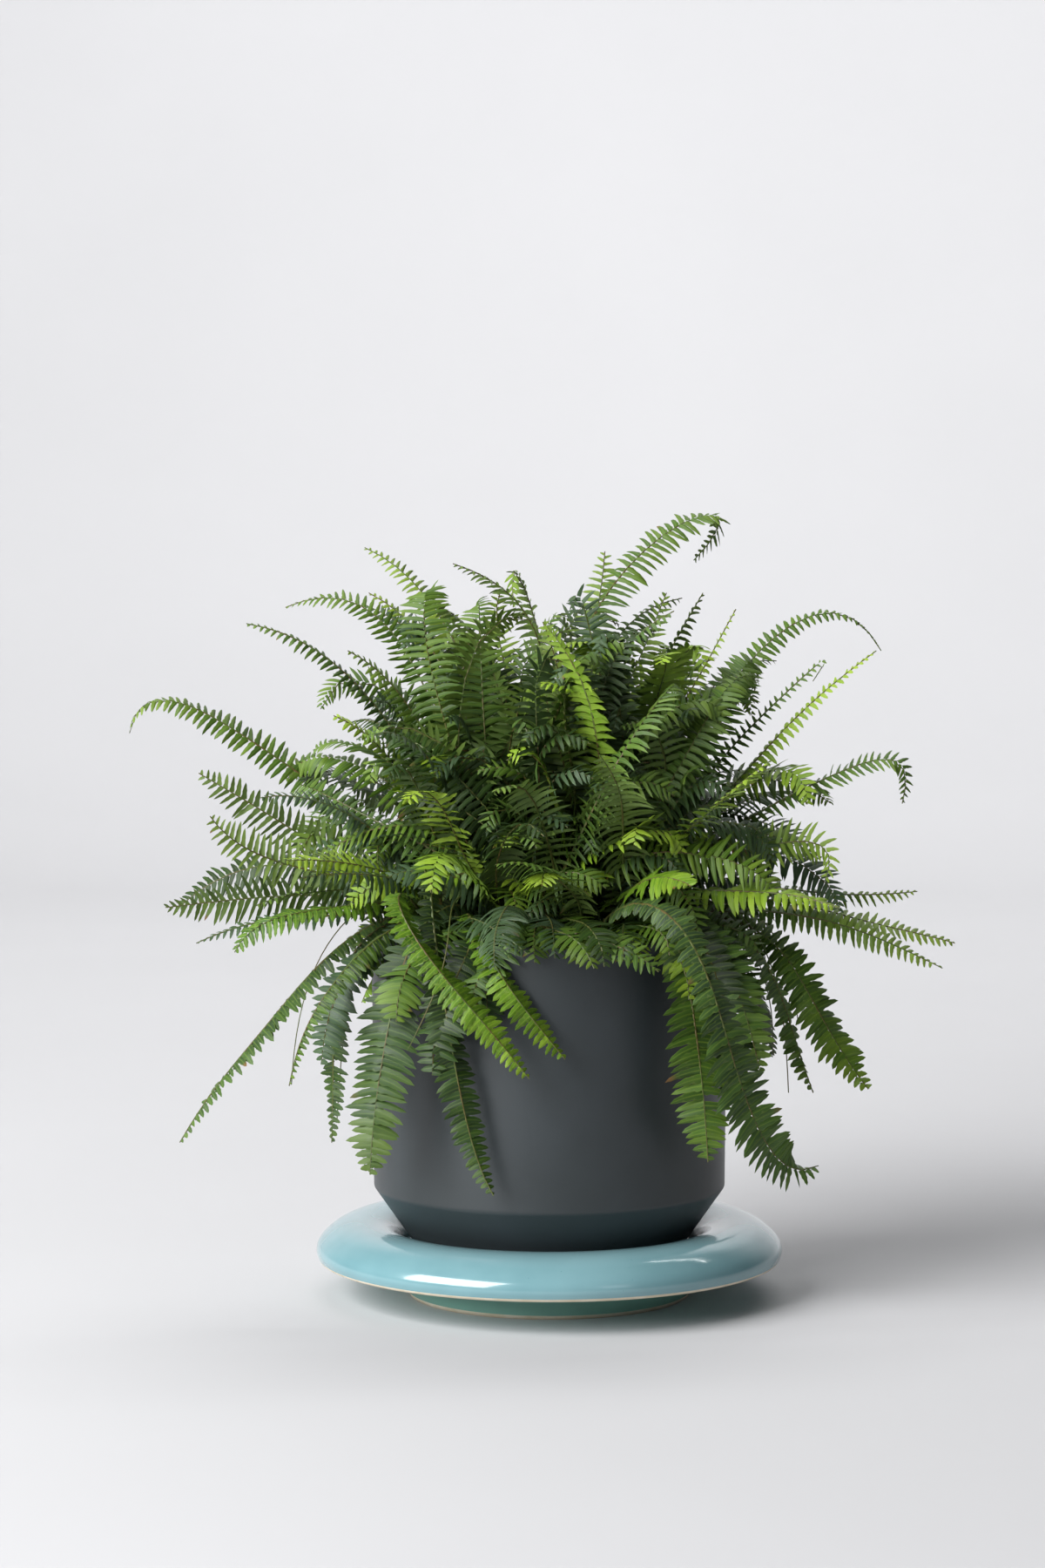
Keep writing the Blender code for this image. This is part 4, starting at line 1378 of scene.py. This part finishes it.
def short_frond(draw, tip, rise, fall, width, roll, veer, push):
    """A frond with its tip at a point, in the terms of the listed ones, its leaf colour drawn."""
    k = (VIEW_AWAY + tip[1]) / VIEW_AWAY
    leaf = LEAF_ODDS[draw.integers(len(LEAF_ODDS))]
    seen_z = VIEW_UP - (VIEW_UP - tip[2]) / k
    return Frond(tip[0] / k, -tip[1], seen_z, rise, fall, 0.35, width, roll, veer, leaf, push)


# Fronds that stand before the head or drape over the rim between the listed ones
DRAPES = [
    Frond(27, 118, 301, 78, 40, 0.30, 19, 0, 30, "leaf_mid", 0.50, 55),
    Frond(-31, 112, 281, 62, -20, 0.35, 17, 25, 20, "leaf_mid", 0.50, 40),
    Frond(-4, 70, 375, 84, 50, 0.30, 19, 0, 46, "leaf_bright", 0.50, 48),
    Frond(-66, 122, 224, 62, -75, 0.45, 17, 0, -10, "leaf_bright", 0.60, 50),
    Frond(-31, 125, 240, 55, -10, 0.30, 17, 25, 30, "leaf_mid", 0.50, 60),
    Frond(-4, 120, 256, 60, -35, 0.35, 16, 0, -30, "leaf_dark", 0.50, 50),
    Frond(24, 124, 182, 45, -60, 0.40, 15, 0, -20, "leaf_mid", 0.42, 66),
    Frond(60, 116, 180, 34, -50, 0.30, 15, 20, -40, "leaf_mid", 0.42, 66),
    Frond(40, 118, 186, 40, -60, 0.35, 15, 0, 15, "leaf_dark", 0.42, 66),
    Frond(-13, 118, 190, 38, -45, 0.35, 15, 20, -50, "leaf_dark", 0.42, 66),
    Frond(-140, 96, 232, 40, -15, 0.30, 18, 20, 10, "leaf_dark", 0.50, 50),
    Frond(-164, 70, 217, 34, -20, 0.30, 16, 50, -10, "leaf_mid", 0.50, 50),
    Frond(-66, 106, 122, 50, -88, 0.50, 18, 0, 12, "leaf_dark", 0.42, 66),
    Frond(-86, 100, 152, 46, -80, 0.50, 17, 0, -8, "leaf_mid", 0.42, 66),
    Frond(-128, 76, 128, 40, -84, 0.50, 15, 0, 6, "leaf_dark", 0.42, 66),
    Frond(-44, 110, 160, 52, -84, 0.45, 14, 0, 14, "leaf_mid", 0.42, 66),
    Frond(104, 94, 104, 44, -82, 0.50, 17, 0, 8, "leaf_dark", 0.42, 66),
]

def filling_frond(frond, number):
    """A coarser frond of those that fill the head, its chances drawn from its number in the group."""
    draw = np.random.default_rng([82, number])
    return fine_frond(frond, root_of(frond, False), FILL_BARE, draw, Traits(FILL_TONE), FILL, FILL_LATE)


draw = np.random.default_rng(81)
lower = [dome_frond(draw, (i + 0.5) / DOMES) for i in range(DOMES // 2)]
upper = [dome_frond(draw, (i + 0.5) / DOMES) for i in range(DOMES // 2, DOMES)]
skirts = [skirt_frond(draw, 360 / SKIRTS * (i + draw.uniform(-0.4, 0.4))) for i in range(SKIRTS)]
lower += [deep_frond(draw, math.pi * (i % 2)) for i in range(DEEP)]
for group, fronds in (("lower", lower), ("upper", upper), ("skirt", skirts + DRAPES)):
    for leaf, look in blades.items():
        shapes = [filling_frond(f, i) for i, f in enumerate(fronds) if f.leaf == leaf]
        frond_piece(f"{group}_fronds_{leaf[5:]}", tiled(shapes), [look, midrib], leaf)

# Studio: matt pale paper that sweeps up behind, its sizes in m
FLOOR_HALF = 6
SWEEP_FROM = 2.2
SWEEP_RADIUS = 1.2
quarter = np.linspace(0, math.pi / 2, 25)
sweep = np.stack([SWEEP_FROM + SWEEP_RADIUS * np.sin(quarter), SWEEP_RADIUS * (1 - np.cos(quarter))], -1)
wall_top = (SWEEP_FROM + SWEEP_RADIUS, FLOOR_HALF)
floor_rows = np.concatenate([[(-FLOOR_HALF, 0), (-2, 0), (1.5, 0)], sweep, [wall_top]])
across = np.tile([-FLOOR_HALF, FLOOR_HALF], len(floor_rows))
points = np.stack([across, *np.repeat(floor_rows, 2, axis=0).T], -1)
row = 2 * np.arange(len(floor_rows) - 1)[:, None]
paper = plain("pale_paper_backdrop", "C6C6C8", "C4C4C6", rough=0.9, patch=400)
mesh = bpy.data.meshes.new("backdrop")
mesh.from_pydata(points.tolist(), [], (row + [0, 1, 3, 2]).tolist())
mesh.shade_smooth()
mesh.materials.append(paper)
backdrop = bpy.data.objects.new("backdrop", mesh)
bpy.context.scene.collection.objects.link(backdrop)


def lamp(name, spot, aim, size, watts, colour):
    """A rectangular softbox at a point, aimed at another."""
    light = bpy.data.lights.new(name, "AREA")
    light.shape = "RECTANGLE"
    light.size, light.size_y = size
    light.energy = watts
    light.color = linear(colour)[:3]
    obj = bpy.data.objects.new(name, light)
    bpy.context.scene.collection.objects.link(obj)
    obj.location = spot
    obj.rotation_euler = (Vector(aim) - Vector(spot)).to_track_quat("-Z", "Y").to_euler()


lamp("window_left", (-2.1, -1.6, 1.6), (0, 0, 0.2), (2.5, 2.1), 200, "FFFFFF")
lamp("window_right", (1.5, -2.4, 1.0), (0, 0, 0.15), (0.7, 0.9), 2, "F3F7FF")
lamp("backdrop_wash", (0.6, 1.4, 2.9), (0.3, 3.4, 0.5), (3.2, 0.8), 88, "FFFFFF")

world = bpy.data.worlds.new("studio")
bpy.context.scene.world = world
world.use_nodes = True
world.node_tree.nodes["Background"].inputs["Color"].default_value = linear("F4F7FA")
world.node_tree.nodes["Background"].inputs["Strength"].default_value = 0.06

# Camera at the photograph's viewpoint: its place in m, its tilt in degrees, its lens in mm
CAMERA_AT = (-0.015, -2.237, 0.450)
CAMERA_DOWN = 4.22
FOCAL_LENGTH = 92.74
SENSOR_WIDTH = 36
lens = bpy.data.cameras.new("camera")
lens.lens = FOCAL_LENGTH
lens.sensor_width = SENSOR_WIDTH
camera = bpy.data.objects.new("camera", lens)
bpy.context.scene.collection.objects.link(camera)
camera.location = CAMERA_AT
camera.rotation_euler = (math.radians(90 - CAMERA_DOWN), 0, 0)
bpy.context.scene.camera = camera
bpy.context.scene.view_settings.view_transform = "Standard"
